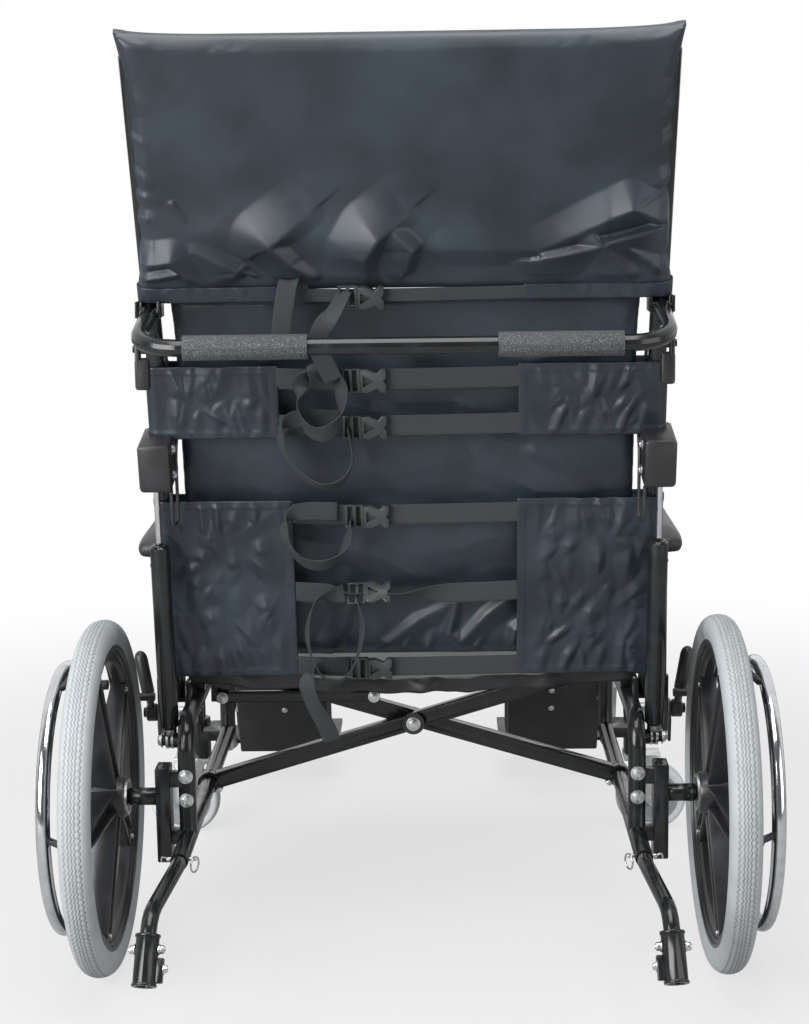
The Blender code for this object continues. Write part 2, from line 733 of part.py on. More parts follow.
def back_bracket(sign):
    """Plate on the upper rail with the pin that a cane turns on."""
    plate_out = BACK_X - CANE_RADIUS - CLEAR
    plate_in = plate_out - PIVOT_PLATE
    y, z, foot_z = BACK_PIVOT_Y, BACK_PIVOT_Z, UPPER_RAIL_Z - FRAME_TUBE_RADIUS / 2
    outline = [
        (sign * plate_in, y - 0.030, foot_z), (sign * plate_in, y + 0.035, foot_z),
        (sign * plate_in, y + 0.012, z + PIVOT_HEAD_RADIUS),
        (sign * plate_in, y - 0.012, z + PIVOT_HEAD_RADIUS),
    ]
    pin_start = plate_in + PIVOT_PLATE / 3
    shank = BACK_X + CANE_RADIUS + CLEAR - pin_start
    pin = [
        (0, 0), (0, PIVOT_PIN_RADIUS), (shank, PIVOT_PIN_RADIUS), (shank, PIVOT_HEAD_RADIUS),
        (shank + PIVOT_HEAD, PIVOT_HEAD_RADIUS), (shank + PIVOT_HEAD, 0),
    ]
    return [
        prism(outline, (sign * PIVOT_PLATE, 0, 0)),
        turned((sign * pin_start, y, z), (sign, 0, 0), pin, TUBE_SIDES),
    ]


def gas_bracket(sign):
    """Lug under the upper rail with the pin of a gas spring's lower eye."""
    y, z = GAS_PIVOT_Y, GAS_PIVOT_Z
    boss = GAS_X - GAS_EYE_WIDTH / 2 - CLEAR - FRAME_X
    head = GAS_X + GAS_EYE_WIDTH / 2 + CLEAR - FRAME_X
    lug_low = (sign * (FRAME_X - 0.004), y - GAS_LUG / 2, z - GAS_LUG / 2)
    lug_high = (sign * (FRAME_FACE_X - 0.001), y + GAS_LUG / 2, UPPER_RAIL_Z - FRAME_TUBE_RADIUS / 2)
    pin = [
        (0, 0), (0, GAS_EYE_RADIUS), (boss, GAS_EYE_RADIUS), (boss, GAS_PIN_RADIUS), (head, GAS_PIN_RADIUS),
        (head, GAS_HEAD_RADIUS), (head + GAS_HEAD, GAS_HEAD_RADIUS), (head + GAS_HEAD, 0),
    ]
    return [block(lug_low, lug_high), turned((sign * FRAME_X, y, z), (sign, 0, 0), pin, TUBE_SIDES)]


def arm_sockets(sign):
    """Two upright sockets that the armrest's legs drop into."""
    solids = []
    half = SOCKET_BRIDGE / 2
    for y in (ARM_REAR_Y, ARM_FRONT_Y):
        solids.append(rod((sign * ARM_X, y, SOCKET_BOTTOM_Z), (sign * ARM_X, y, SOCKET_TOP_Z), SOCKET_RADIUS))
        low = (sign * (FRAME_X + FRAME_TUBE_RADIUS / 2), y - half, UPPER_RAIL_Z - half)
        solids.append(block(low, (sign * (ARM_X - ARM_TUBE_RADIUS - 0.001), y + half, UPPER_RAIL_Z + half)))
    return solids


def caster_barrel(sign):
    """Bearing barrel of a caster, on its bracket from the lower rail."""
    x, y = sign * CASTER_STEM_X, CASTER_STEM_Y
    low = (sign * (FRAME_X - 0.006), FRONT_POST_Y - 0.010, LOWER_RAIL_Z - 0.016)
    high = (sign * (CASTER_STEM_X - STEM_RADIUS - 0.003), y + BARREL_RADIUS - 0.004, BARREL_TOP_Z - 0.010)
    return [
        rod((x, y, CROWN_TOP_Z + CLEAR), (x, y, BARREL_TOP_Z), BARREL_RADIUS, 16),
        block(low, high),
    ]


def hanger_lugs(sign):
    """Two lugs on the front post with the upright pin that a legrest swings on."""
    x = sign * FRAME_X
    solids = []
    for low_z in (HANGER_BOTTOM_Z - CLEAR - HANGER_LUG, HANGER_TOP_Z + CLEAR):
        low = (x - HANGER_RADIUS, FRONT_POST_Y, low_z)
        solids.append(block(low, (x + HANGER_RADIUS, HANGER_Y + HANGER_RADIUS, low_z + HANGER_LUG)))
    start = (x, HANGER_Y, HANGER_BOTTOM_Z - HANGER_LUG / 2)
    solids.append(rod(start, (x, HANGER_Y, HANGER_TOP_Z + HANGER_LUG / 2), HANGER_PIN_RADIUS))
    return solids


def lock_bracket(sign):
    """Drop plate under the upper rail with the cross bar that the wheel lock turns on."""
    inner = FRAME_FACE_X - LOCK_PLATE / 2
    low = (sign * inner, LOCK_Y - 0.016, LOCK_Z - 0.012)
    high = (sign * (inner + LOCK_PLATE), LOCK_Y + 0.016, UPPER_RAIL_Z)
    return [
        block(low, high),
        rod(
            (sign * (inner + 0.001), LOCK_Y, LOCK_Z), (sign * LOCK_BAR_END_X, LOCK_Y, LOCK_Z), LOCK_BAR_RADIUS
        ),
    ]


def seat_saddles(sign):
    """Blocks on the upper rail that the seat rail lies on."""
    solids = []
    x = sign * FRAME_X
    top = SEAT_RAIL_Z - SEAT_RAIL_RADIUS - CLEAR
    for y in (SEAT_RAIL_REAR_Y + SADDLE_LENGTH, SEAT_RAIL_FRONT_Y - 3 * SADDLE_LENGTH):
        low = (x - SADDLE_WIDTH / 2, y - SADDLE_LENGTH / 2, UPPER_RAIL_Z)
        solids.append(block(low, (x + SADDLE_WIDTH / 2, y + SADDLE_LENGTH / 2, top)))
    return solids


def caster(side, sign, fork_body, wheel_body):
    """Caster fork turned so that its wheel trails outwards, and its wheel."""
    x, y = sign * CASTER_STEM_X, CASTER_STEM_Y
    wheel_x = sign * (CASTER_STEM_X + CASTER_TRAIL)
    hub_half = CASTER_WIDTH / 2 + 0.002
    leg_in = hub_half + CLEAR
    leg_out = leg_in + FORK_PLATE
    inner_x, outer_x = x - sign * BARREL_RADIUS, wheel_x + sign * FORK_LEG_WIDTH / 2
    solids = [block((inner_x, y - leg_out, CROWN_BOTTOM_Z), (outer_x, y + leg_out, CROWN_TOP_Z))]
    for face in (-1, 1):
        outline = [
            (x - sign * STEM_RADIUS, y + face * leg_in, CROWN_BOTTOM_Z + 0.001),
            (outer_x, y + face * leg_in, CROWN_BOTTOM_Z + 0.001),
            (outer_x, y + face * leg_in, CASTER_RADIUS), (wheel_x, y + face * leg_in, CASTER_RADIUS * 0.70),
            (wheel_x - sign * FORK_LEG_WIDTH / 2, y + face * leg_in, CASTER_RADIUS),
        ]
        solids.append(prism(outline, (0, face * FORK_PLATE, 0)))
    solids.append(rod((x, y, CROWN_TOP_Z - 0.001), (x, y, STEM_TOP_Z), STEM_RADIUS))
    bolt_ends = [(wheel_x, y + face * (leg_out + 0.003), CASTER_RADIUS) for face in (-1, 1)]
    solids.append(rod(bolt_ends[0], bolt_ends[1], CASTER_BOLT_RADIUS))
    make(f"caster_fork_{side}", solids, "zinc_steel", fork_body)
    half = CASTER_WIDTH / 2
    inner = CASTER_RADIUS - CASTER_TYRE_HEIGHT
    hole = clear_of(CASTER_BOLT_RADIUS, CASTER_SEGMENTS)
    boss, shoulder, recess = hole + CASTER_BOSS, CASTER_TYRE_HEIGHT * 0.4, half * 0.75
    profile = [
        (-hub_half, hole), (-hub_half, boss), (-recess, inner), (-half, CASTER_RADIUS - shoulder),
        (-half + shoulder, CASTER_RADIUS), (half - shoulder, CASTER_RADIUS), (half, CASTER_RADIUS - shoulder),
        (recess, inner), (hub_half, boss), (hub_half, hole),
    ]
    solid = turned((wheel_x, y, CASTER_RADIUS), (0, 1, 0), profile, CASTER_SEGMENTS)
    make(f"caster_wheel_{side}", [solid], "grey_tyre", wheel_body)


def cross_brace(carrier):
    """Two crossed tubes with their seat rails, the bolt where they cross and the link to the left frame."""
    top_z = SEAT_RAIL_Z - BRACE_TOP_DROP
    middle_z = (LOWER_RAIL_Z + top_z) / 2
    second_y = BRACE_Y + BRACE_TUBE_DEPTH + BRACE_TUBE_GAP
    for name, sign, y in (("cross_tube_a", 1, BRACE_Y), ("cross_tube_b", -1, second_y)):
        low, high = Vector((-sign * FRAME_X, y, LOWER_RAIL_Z)), Vector((sign * FRAME_X, y, top_z))
        along = (high - low).normalized()
        up = Vector((-along.z, 0, along.x)) * BRACE_TUBE_HEIGHT / 2
        start = low + along * (FRAME_TUBE_RADIUS + CLEAR + BRACE_COLLAR / 2)
        end = high - along * SEAT_RAIL_RADIUS / 2
        depth = (0, BRACE_TUBE_DEPTH, 0)
        solids = [
            prism([start - up, end - up, end + up, start + up], depth),
            pipe(low, low + Vector(depth), clear_of(FRAME_TUBE_RADIUS), FRAME_TUBE_RADIUS + BRACE_COLLAR),
            rod(
                (high.x, SEAT_RAIL_REAR_Y, SEAT_RAIL_Z),
                (high.x, SEAT_RAIL_FRONT_Y, SEAT_RAIL_Z),
                SEAT_RAIL_RADIUS,
            ),
        ]
        if sign < 0:
            foot = middle_z + abs(LINK_BOLT_X) * abs(along.z / along.x)
            tab_low = (LINK_BOLT_X - LINK_HEIGHT / 2, y, foot)
            tab_high = (LINK_BOLT_X + LINK_HEIGHT / 2, y + LINK_TAB, LINK_Z + LINK_HEIGHT / 2)
            solids.append(block(tab_low, tab_high))
        hole = bore((0, BRACE_Y - 0.02, middle_z), (0, second_y + 0.05, middle_z), BRACE_BOLT_RADIUS)
        make(name, solids, "black_paint", carrier, [hole])
    rear_face, front_face = BRACE_Y - CLEAR, second_y + BRACE_TUBE_DEPTH + CLEAR
    length = front_face - rear_face
    profile = [
        (-BRACE_BOLT_HEAD, 0), (-BRACE_BOLT_HEAD, BRACE_BOLT_HEAD_RADIUS), (0, BRACE_BOLT_HEAD_RADIUS),
        (0, BRACE_BOLT_RADIUS), (length, BRACE_BOLT_RADIUS), (length, BRACE_BOLT_HEAD_RADIUS),
        (length + BRACE_BOLT_HEAD, BRACE_BOLT_HEAD_RADIUS), (length + BRACE_BOLT_HEAD, 0),
    ]
    bolt = turned((0, rear_face, middle_z), (0, 1, 0), profile, TUBE_SIDES)
    make("cross_bolt", [bolt], "zinc_steel", carrier)
    cross_link(carrier, second_y - CLEAR)


def cross_link(carrier, front_y):
    """Flat link bar between the brace and the left side frame, with its two bolt heads."""
    half = LINK_HEIGHT / 2
    rear_y = front_y - LINK_THICKNESS
    solids = [block((LINK_LUG_X - half, rear_y, LINK_Z - half), (LINK_BOLT_X + half, front_y, LINK_Z + half))]
    for x in (LINK_LUG_X, LINK_BOLT_X):
        solids.append(rod((x, rear_y - 0.005, LINK_Z), (x, rear_y + 0.001, LINK_Z), LINK_BOLT_RADIUS))
    make("cross_link", solids, "black_paint", carrier)


def seat_sling(carrier):
    """Seat sling that lies on the seat rails and sags between them."""
    half = FRAME_X + SEAT_RAIL_RADIUS
    rail_top = SEAT_RAIL_Z + SEAT_RAIL_RADIUS + CLEAR
    length = SEAT_RAIL_FRONT_Y - SEAT_RAIL_REAR_Y + 2 * SLING_OVERHANG
    middle_y = (SEAT_RAIL_FRONT_Y + SEAT_RAIL_REAR_Y) / 2
    held = 1 - 2 * SEAT_RAIL_RADIUS / half

    def heights(a, b):
        drop = SLING_SAG * (1 - (min(abs(a), held) / held) ** 2)
        return -drop, SLING_THICKNESS - drop

    def place(u, w, v):
        return Vector((u, middle_y + w, rail_top + v))

    form = pillow(place, 2 * half, length, heights, [-1, *evenly(12, held), 1], evenly(6))
    make("seat_sling", [form], "navy_nylon", carrier)


def back_cane(side, sign, carrier):
    """Back cane: straight from the pivot to its bend, then leaning further back to its open top."""
    x = sign * BACK_X
    corners = [back_point(x, -CANE_BELOW_PIVOT), back_point(x, CANE_BEND_S), head_point(x, CANE_TOP_T)]
    path = bent(corners, CANE_BEND, 3)
    pivot = [(x - 0.03, BACK_PIVOT_Y, BACK_PIVOT_Z), (x + 0.03, BACK_PIVOT_Y, BACK_PIVOT_Z)]
    holes = [bore(pivot[0], pivot[1], PIVOT_PIN_RADIUS)]
    bottom = CANE_TOP_T - CANE_BORE_DEPTH
    holes.append(bore(head_point(x, bottom), head_point(x, CANE_TOP_T + 0.01), POST_PLUG_RADIUS))
    make(f"back_cane_{side}", [sweep(path, CANE_RADIUS)], "black_paint", carrier, holes)


def bar_arm_point(x, y):
    """A point on the push bar's arm, which slopes from the canes down to the bar."""
    top = head_point(x, BAR_CLAMP_T)
    share = (y - BAR_Y) / (top.y - BAR_Y)
    return Vector((x, y, BAR_Z + share * (top.z - BAR_Z)))


def push_bar(carrier):
    """Push bar with its cheeks on the canes and its lever ears."""
    cane = head_point(BACK_X, BAR_CLAMP_T)
    start_y = cane.y - CANE_RADIUS / math.cos(HEAD_LEAN) - 2 * CLEAR
    corners = [
        bar_arm_point(-BACK_X, start_y), (-BACK_X, BAR_Y, BAR_Z),
        (BACK_X, BAR_Y, BAR_Z), bar_arm_point(BACK_X, start_y),
    ]
    solids = [sweep(bent(corners, BAR_BEND, 5), BAR_RADIUS)]
    for sign in SIDES.values():
        x = sign * BACK_X
        inner = CANE_RADIUS + CLEAR
        for face in (-1, 1):
            low = (x + face * inner, start_y - 0.020, cane.z - BAR_CHEEK_HALF_HEIGHT)
            high = (x + face * (inner + BAR_CHEEK), cane.y + CANE_RADIUS / 2, cane.z + BAR_CHEEK_HALF_HEIGHT)
            solids.append(block(low, high))
        web_z = bar_arm_point(x, start_y - 0.014).z
        reach = inner + BAR_CHEEK / 2
        web_low = (x - reach, start_y - 0.018, web_z - BAR_RADIUS / 2)
        solids.append(block(web_low, (x + reach, start_y - 0.010, web_z + BAR_RADIUS / 2)))
        solids += lever_ear(sign)
    make("push_bar", solids, "black_paint", carrier)
    for side, sign in SIDES.items():
        ends = [(sign * GRIP_INNER_X, BAR_Y, BAR_Z), (sign * (GRIP_INNER_X + GRIP_LENGTH), BAR_Y, BAR_Z)]
        grip = pipe(ends[0], ends[1], clear_of(BAR_RADIUS), GRIP_RADIUS)
        make(f"foam_grip_{side}", [grip], "grey_foam", carrier)


def lever_pivot(sign):
    """Where a release lever turns, under the push bar's arm."""
    return bar_arm_point(sign * BACK_X, LEVER_Y) - Vector((0, 0, LEVER_DROP))


def lever_ear(sign):
    """Ear under the push bar's arm with the pin of a release lever."""
    pivot = lever_pivot(sign)
    low = pivot + Vector((-LEVER_EAR / 2, -0.007, -0.006))
    high = pivot + Vector((LEVER_EAR / 2, 0.007, LEVER_DROP - BAR_RADIUS / 2))
    shank = LEVER_EAR / 2 + LEVER_PLATE + 2 * CLEAR
    pin = [
        (0, 0), (0, LEVER_PIN_RADIUS), (shank, LEVER_PIN_RADIUS), (shank, LEVER_HEAD_RADIUS),
        (shank + LEVER_HEAD, LEVER_HEAD_RADIUS), (shank + LEVER_HEAD, 0),
    ]
    return [block(low, high), turned(pivot, (sign, 0, 0), pin, TUBE_SIDES)]


def release_lever(side, sign, carrier):
    """Release lever: a plate on its pin, widening to a rounded paddle."""
    pivot = lever_pivot(sign)
    inner, outer = LEVER_EAR / 2 + CLEAR, LEVER_EAR / 2 + CLEAR + LEVER_PLATE
    half = LEVER_WIDTH / 2
    plate = block(
        pivot + Vector((sign * inner, -half, -LEVER_LENGTH + 0.006)),
        pivot + Vector((sign * outer, half, 0.008)),
        0.0015,
    )
    paddle = block(
        pivot + Vector((sign * (outer - LEVER_PADDLE), -half, -LEVER_LENGTH)),
        pivot + Vector((sign * (outer + 0.001), half, -0.012)), 0.004
    )
    hole = bore(pivot - Vector((0.05, 0, 0)), pivot + Vector((0.05, 0, 0)), LEVER_PIN_RADIUS)
    make(f"release_lever_{side}", [plate, paddle], "black_plastic", carrier, [hole])


def release_cable(side, sign, carrier):
    """Release cable from the lever's ear down the cane's inner side and up into the actuator head."""
    pivot = lever_pivot(sign)
    ear_x = BACK_X - LEVER_EAR / 2 - CLEAR - CABLE_RADIUS
    beside = BACK_X - CANE_RADIUS - 2 * CLEAR - CABLE_RADIUS
    past_box = BACK_X - HEAD_BOX_INNER - 2 * CLEAR - CABLE_RADIUS
    entry = BACK_X - HEAD_BOX_INNER + CABLE_RADIUS
    route = [
        Vector((sign * ear_x, pivot.y, pivot.z)),
        Vector((sign * ear_x, pivot.y + 0.030, pivot.z - 0.004)),
        head_point(sign * beside, -0.004, -0.024),
        back_point(sign * beside, CANE_BEND_S - 0.045),
        back_point(sign * beside, back_s(MIDDLE_FLAP_Z[1])),
        back_point(sign * beside, back_s(MIDDLE_FLAP_Z[0]) + 0.020),
        back_point(sign * past_box, HEAD_BOX_TOP_S + 0.005, -0.001),
        back_point(sign * past_box, HEAD_BOX_TOP_S - 0.010, -0.008),
        back_point(sign * past_box, HEAD_BOX_TOP_S - 0.032, -0.026),
        back_point(sign * past_box, HEAD_BOX_BOTTOM_S - 0.010, -0.034),
    ]
    for step in range(CABLE_LOOP_STEPS + 1):
        share = step / CABLE_LOOP_STEPS
        s = HEAD_BOX_BOTTOM_S - CABLE_LOOP_DROP - CABLE_LOOP_RADIUS * math.sin(math.pi * share)
        v = CABLE_ENTRY_V + CABLE_LOOP_RADIUS * (1 + math.cos(math.pi * share))
        route.append(back_point(sign * (past_box + share * (entry - past_box)), s, v))
    route.append(back_point(sign * entry, HEAD_BOX_BOTTOM_S - CABLE_LOOP_DROP / 2, CABLE_ENTRY_V))
    route.append(back_point(sign * entry, HEAD_BOX_BOTTOM_S - CLEAR, CABLE_ENTRY_V))
    sheath = sweep(smooth(route, CABLE_CURVE_STEPS), CABLE_RADIUS, CABLE_SIDES)
    make(f"release_cable_{side}", [sheath], "black_plastic", carrier)


def gas_line(sign):
    """The gas spring's lower pin, the seat of its rod end, and the way between them."""
    low = Vector((sign * GAS_X, GAS_PIVOT_Y, GAS_PIVOT_Z))
    high = back_point(sign * GAS_X, ROD_SEAT_S, ROD_SEAT_V)
    return low, high, (high - low).normalized()


def gas_spring(side, sign, barrel_body, rod_body):
    """Gas spring: barrel with its lower eye, and the rod that slides in it."""
    low, high, along = gas_line(sign)
    room = clear_of(GAS_ROD_RADIUS)
    step = 0.004
    barrel = [
        (GAS_BARREL_START, 0), (GAS_BARREL_START, GAS_BARREL_RADIUS - step),
        (GAS_BARREL_START + step, GAS_BARREL_RADIUS), (GAS_BARREL_END - step, GAS_BARREL_RADIUS),
        (GAS_BARREL_END, GAS_BARREL_RADIUS - step), (GAS_BARREL_END, room),
        (GAS_BORE_END, room), (GAS_BORE_END, 0),
    ]
    across = Vector((GAS_EYE_WIDTH / 2, 0, 0))
    solids = [turned(low, along, barrel, 16)]
    solids.append(rod(low - across, low + across, GAS_EYE_RADIUS, 16))
    solids.append(rod(low, low + along * (GAS_BARREL_START + step), GAS_EYE_WIDTH / 2))
    pin = bore(low - 2 * across, low + 2 * across, GAS_PIN_RADIUS)
    make(f"gas_cylinder_{side}", solids, "black_paint", barrel_body, [pin])
    foot = low + along * (GAS_BARREL_END - GAS_ROD_INSIDE)
    half_eye = Vector((GAS_ROD_RADIUS, 0, 0))
    solids = [rod(foot, high, GAS_ROD_RADIUS), rod(high - half_eye, high + half_eye, ROD_END_RADIUS)]
    make(f"gas_rod_{side}", solids, "chrome", rod_body)


def actuator_head(side, sign, carrier):
    """Housing clamped round the cane that takes the rod's end in a slot open below."""
    inner, outer = sign * (BACK_X - HEAD_BOX_INNER), sign * (BACK_X + HEAD_BOX_OUTER)
    lean = Matrix.Rotation(BACK_LEAN, 4, "X")
    origin = Matrix.Translation((0, BACK_PIVOT_Y, BACK_PIVOT_Z))
    low, high = (inner, HEAD_BOX_REAR_V, HEAD_BOX_BOTTOM_S), (outer, HEAD_BOX_FRONT_V, HEAD_BOX_TOP_S)
    shell = block(low, high, HEAD_BOX_EDGE)
    x = sign * BACK_X
    room, side_room = ROD_END_RADIUS + ROD_ROOM, GAS_ROD_RADIUS + ROD_ROOM
    slot = block(
        (sign * GAS_X - side_room, ROD_SEAT_V - room - ROD_DRIFT, HEAD_BOX_BOTTOM_S - 0.01),
        (sign * GAS_X + side_room, ROD_SEAT_V + room, ROD_SEAT_S + room + ROD_ROOM),
    )
    for bm in (shell, slot):
        bm.transform(origin @ lean)
    hole = bore(back_point(x, HEAD_BOX_BOTTOM_S - 0.01), back_point(x, HEAD_BOX_TOP_S + 0.01), CANE_RADIUS)
    make(f"actuator_head_{side}", [shell], "black_plastic", carrier, [hole, slot])


def back_panel(carrier):
    """Padded back panel stretched in front of the canes."""
    rear_v = CANE_RADIUS - 0.001
    middle = (PANEL_BOTTOM_S + PANEL_TOP_S) / 2

    def place(u, w, v):
        s = middle + w
        if s > CANE_BEND_S:
            return head_point(u, s - CANE_BEND_S, rear_v + v)
        return back_point(u, s, rear_v + v)

    def heights(a, b):
        return 0.003 * (1 - swell(a, b)), PANEL_EDGE + PANEL_CROWN * swell(a, b)

    form = pillow(place, 2 * PANEL_HALF_WIDTH, PANEL_TOP_S - PANEL_BOTTOM_S, heights, evenly(12), evenly(12))
    make("back_panel", [form], "navy_nylon", carrier)


def flap_outline(sign, width, point, front_reach):
    """Outline of a flap that lies behind a cane, goes round its outer side and comes to the front."""
    inner, outer = CANE_RADIUS + FLAP_EASE, CANE_RADIUS + FLAP_EASE + FLAP_THICKNESS
    steps = 6
    turns = [math.pi * (k / steps - 0.5) for k in range(steps + 1)]
    edge = BACK_X + outer - width
    outline = [(edge, -outer)]
    outline += [(BACK_X + outer * math.cos(a), outer * math.sin(a)) for a in turns]
    outline += [(front_reach, outer), (front_reach, inner)]
    outline += [(BACK_X + inner * math.cos(a), inner * math.sin(a)) for a in reversed(turns)]
    outline.append((edge, -inner))
    return [point(sign * x, v) for x, v in outline]


def strap_slab(half_length, middle, width, point):
    """A flat strap across the back, in the flaps' own thickness."""
    rear = CANE_RADIUS + FLAP_EASE + FLAP_THICKNESS * 0.75
    low, high = middle - width / 2, middle + width / 2
    corners = [(-half_length, low), (half_length, low), (half_length, high), (-half_length, high)]
    outline = [point(x, s, -rear) for x, s in corners]
    return prism(outline, point(0, low, STRAP_THICKNESS) - point(0, low, 0))


def strap_band(name, width, flap_s, strap_s, point, carrier, strap_width=STRAP_WIDTH):
    """Two flaps round the canes, joined behind by straps."""
    panel_edge = PANEL_HALF_WIDTH + CLEAR
    low, high = flap_s
    rise = point(0, high, 0) - point(0, low, 0)
    solids = []
    for sign in SIDES.values():
        outline = flap_outline(sign, width, lambda x, v: point(x, low, v), panel_edge)
        solids.append(prism(outline, rise))
    half_length = BACK_X + CANE_RADIUS - width + STRAP_WIDTH
    for s in strap_s:
        solids.append(strap_slab(half_length, s, strap_width, point))
    solids = [solids[0], *solids[2:], solids[1]]
    make(name, solids, "navy_nylon", carrier)


def head_extension(carrier):
    """Head pad on its two posts, and the band that hems it to the canes."""
    bottom_t = CANE_TOP_T + CLEAR
    middle = bottom_t + HEAD_HEIGHT / 2

    def place(u, w, v):
        return head_point(u, middle + w, v)

    def heights(a, b):
        full = HEAD_EDGE / 2 + HEAD_CROWN * swell(a, b)
        return -full, full

    pad = pillow(place, 2 * HEAD_HALF_WIDTH, HEAD_HEIGHT, heights, evenly(14), evenly(8), HEAD_TUCK)
    holes = []
    for side, sign in SIDES.items():
        x = sign * BACK_X
        top = head_point(x, CANE_TOP_T + POST_RISE)
        shoulder = head_point(x, CANE_TOP_T + CLEAR)
        foot = head_point(x, CANE_TOP_T - POST_PLUG_LENGTH)
        solids = [rod(shoulder, top, POST_RADIUS), rod(foot, shoulder.lerp(top, 0.1), POST_PLUG_RADIUS)]
        make(f"head_post_{side}", solids, "black_paint", carrier)
        above = head_point(x, CANE_TOP_T + POST_RISE + CLEAR)
        holes.append(bore(head_point(x, CANE_TOP_T - 0.02), above, POST_RADIUS))
    make("head_pad", [pad], "navy_nylon", carrier, holes)
    flap_t = (CANE_TOP_T - HEAD_FLAP_HEIGHT, CANE_TOP_T - CLEAR)
    strap_t = CANE_TOP_T - HEAD_FLAP_HEIGHT / 2
    strap_band("head_band", HEAD_FLAP_WIDTH, flap_t, [strap_t], head_point, carrier, HEAD_STRAP_WIDTH)


def armrest(side, sign, carrier):
    """Lift-out armrest: tube, skirt guard and pad."""
    x = sign * ARM_X
    corners = [
        (x, ARM_REAR_Y, ARM_FOOT_Z), (x, ARM_REAR_Y, ARM_TOP_Z),
        (x, ARM_FRONT_Y, ARM_TOP_Z), (x, ARM_FRONT_Y, ARM_FOOT_Z),
    ]
    make(f"armrest_frame_{side}", [sweep(bent(corners, ARM_BEND), ARM_TUBE_RADIUS)], "black_paint", carrier)
    gap = ARM_TUBE_RADIUS + CLEAR
    rear, front, top = ARM_REAR_Y + gap, ARM_FRONT_Y - gap, ARM_TOP_Z - gap
    low_x = x - GUARD_THICKNESS / 2
    outline = [
        (low_x, rear, GUARD_BOTTOM_Z), (low_x, front, GUARD_BOTTOM_Z), (low_x, front, top - GUARD_CHAMFER),
        (low_x, front - GUARD_CHAMFER, top), (low_x, rear + GUARD_CHAMFER, top),
        (low_x, rear, top - GUARD_CHAMFER),
    ]
    make(f"side_guard_{side}", [prism(outline, (GUARD_THICKNESS, 0, 0))], "black_plastic", carrier)
    seat = ARM_TOP_Z + ARM_TUBE_RADIUS + CLEAR
    middle_y = ARM_PAD_REAR_Y + ARM_PAD_LENGTH / 2

    def heights(a, b):
        return 0.0, ARM_PAD_EDGE + ARM_PAD_CROWN * swell(a, b)

    def place(u, w, v):
        return Vector((x + u, middle_y + w, seat + v))

    pad = pillow(place, ARM_PAD_WIDTH, ARM_PAD_LENGTH, heights, evenly(6), evenly(10), ARM_PAD_TUCK)
    make(f"arm_pad_{side}", [pad], "black_vinyl", carrier)


def wheel_lock(side, sign, carrier):
    """Wheel lock lever with its grip and the shoe that presses the tyre."""
    middle_x = LOCK_HUB_X + LOCK_HUB_WIDTH / 2
    centre = Vector((sign * middle_x, LOCK_Y, LOCK_Z))
    half = Vector((LOCK_HUB_WIDTH / 2, 0, 0))
    lean = Vector((sign * LOCK_GRIP_TOP[0], LOCK_GRIP_TOP[1], LOCK_GRIP_TOP[2]))
    unit = lean.normalized()
    grip_start = centre + unit * LOCK_GRIP_START
    top = centre + lean
    rounding = LOCK_GRIP_RADIUS * 0.4
    grip = sweep(
        [grip_start, grip_start + unit * rounding, top - unit * rounding, top],
        [LOCK_GRIP_RADIUS * 0.7, LOCK_GRIP_RADIUS, LOCK_GRIP_RADIUS, LOCK_GRIP_RADIUS * 0.6],
    )
    shoe_y, shoe_z = LOCK_Y + LOCK_SHOE[0], LOCK_Z + LOCK_SHOE[1]
    shoe_in, shoe_out = (sign * LOCK_HUB_X, shoe_y, shoe_z), (sign * LOCK_SHOE_END_X, shoe_y, shoe_z)
    arm_end = Vector((centre.x, shoe_y, shoe_z))
    solids = [
        rod(centre - half, centre + half, LOCK_HUB_RADIUS, 16),
        rod(centre + unit * 0.010, grip_start + unit * 0.008, LOCK_GRIP_RADIUS * 0.6),
        grip,
        rod(centre.lerp(arm_end, 0.3), centre.lerp(arm_end, 1.05), LOCK_SHOE_RADIUS * 0.8),
        rod(shoe_in, shoe_out, LOCK_SHOE_RADIUS),
    ]
    hole = bore(centre - 3 * half, centre + 3 * half, LOCK_BAR_RADIUS)
    make(f"wheel_lock_{side}", solids, "black_plastic", carrier, [hole])


def antitipper(side, sign, carrier):
    """Anti-tipper: a tube plugged into the lower rail, bent down to a wide sleeve."""
    x = sign * FRAME_X
    plug = (x, LOWER_RAIL_REAR_Y + ANTITIP_PLUG, LOWER_RAIL_Z)
    mouth = (x, LOWER_RAIL_REAR_Y - 0.020, LOWER_RAIL_Z)
    bend = (x + sign * ANTITIP_FLARE * 0.8, ANTITIP_BEND_Y, ANTITIP_BEND_Z)
    end = Vector((x + sign * ANTITIP_FLARE, ANTITIP_END_Y, ANTITIP_END_Z))
    path = bent([plug, mouth, bend, end], ANTITIP_BEND, 3)
    back = (Vector(bend) - end).normalized()
    path[-1] = end + back * SLEEVE_LENGTH / 2
    solids = [sweep(path, ANTITIP_RADIUS), rod(end, end + back * SLEEVE_LENGTH, SLEEVE_RADIUS)]
    hollow = rod(end - back * 0.01, end + back * SLEEVE_LENGTH / 4, ANTITIP_RADIUS)
    make(f"antitipper_{side}", solids, "black_paint", carrier, [hollow])


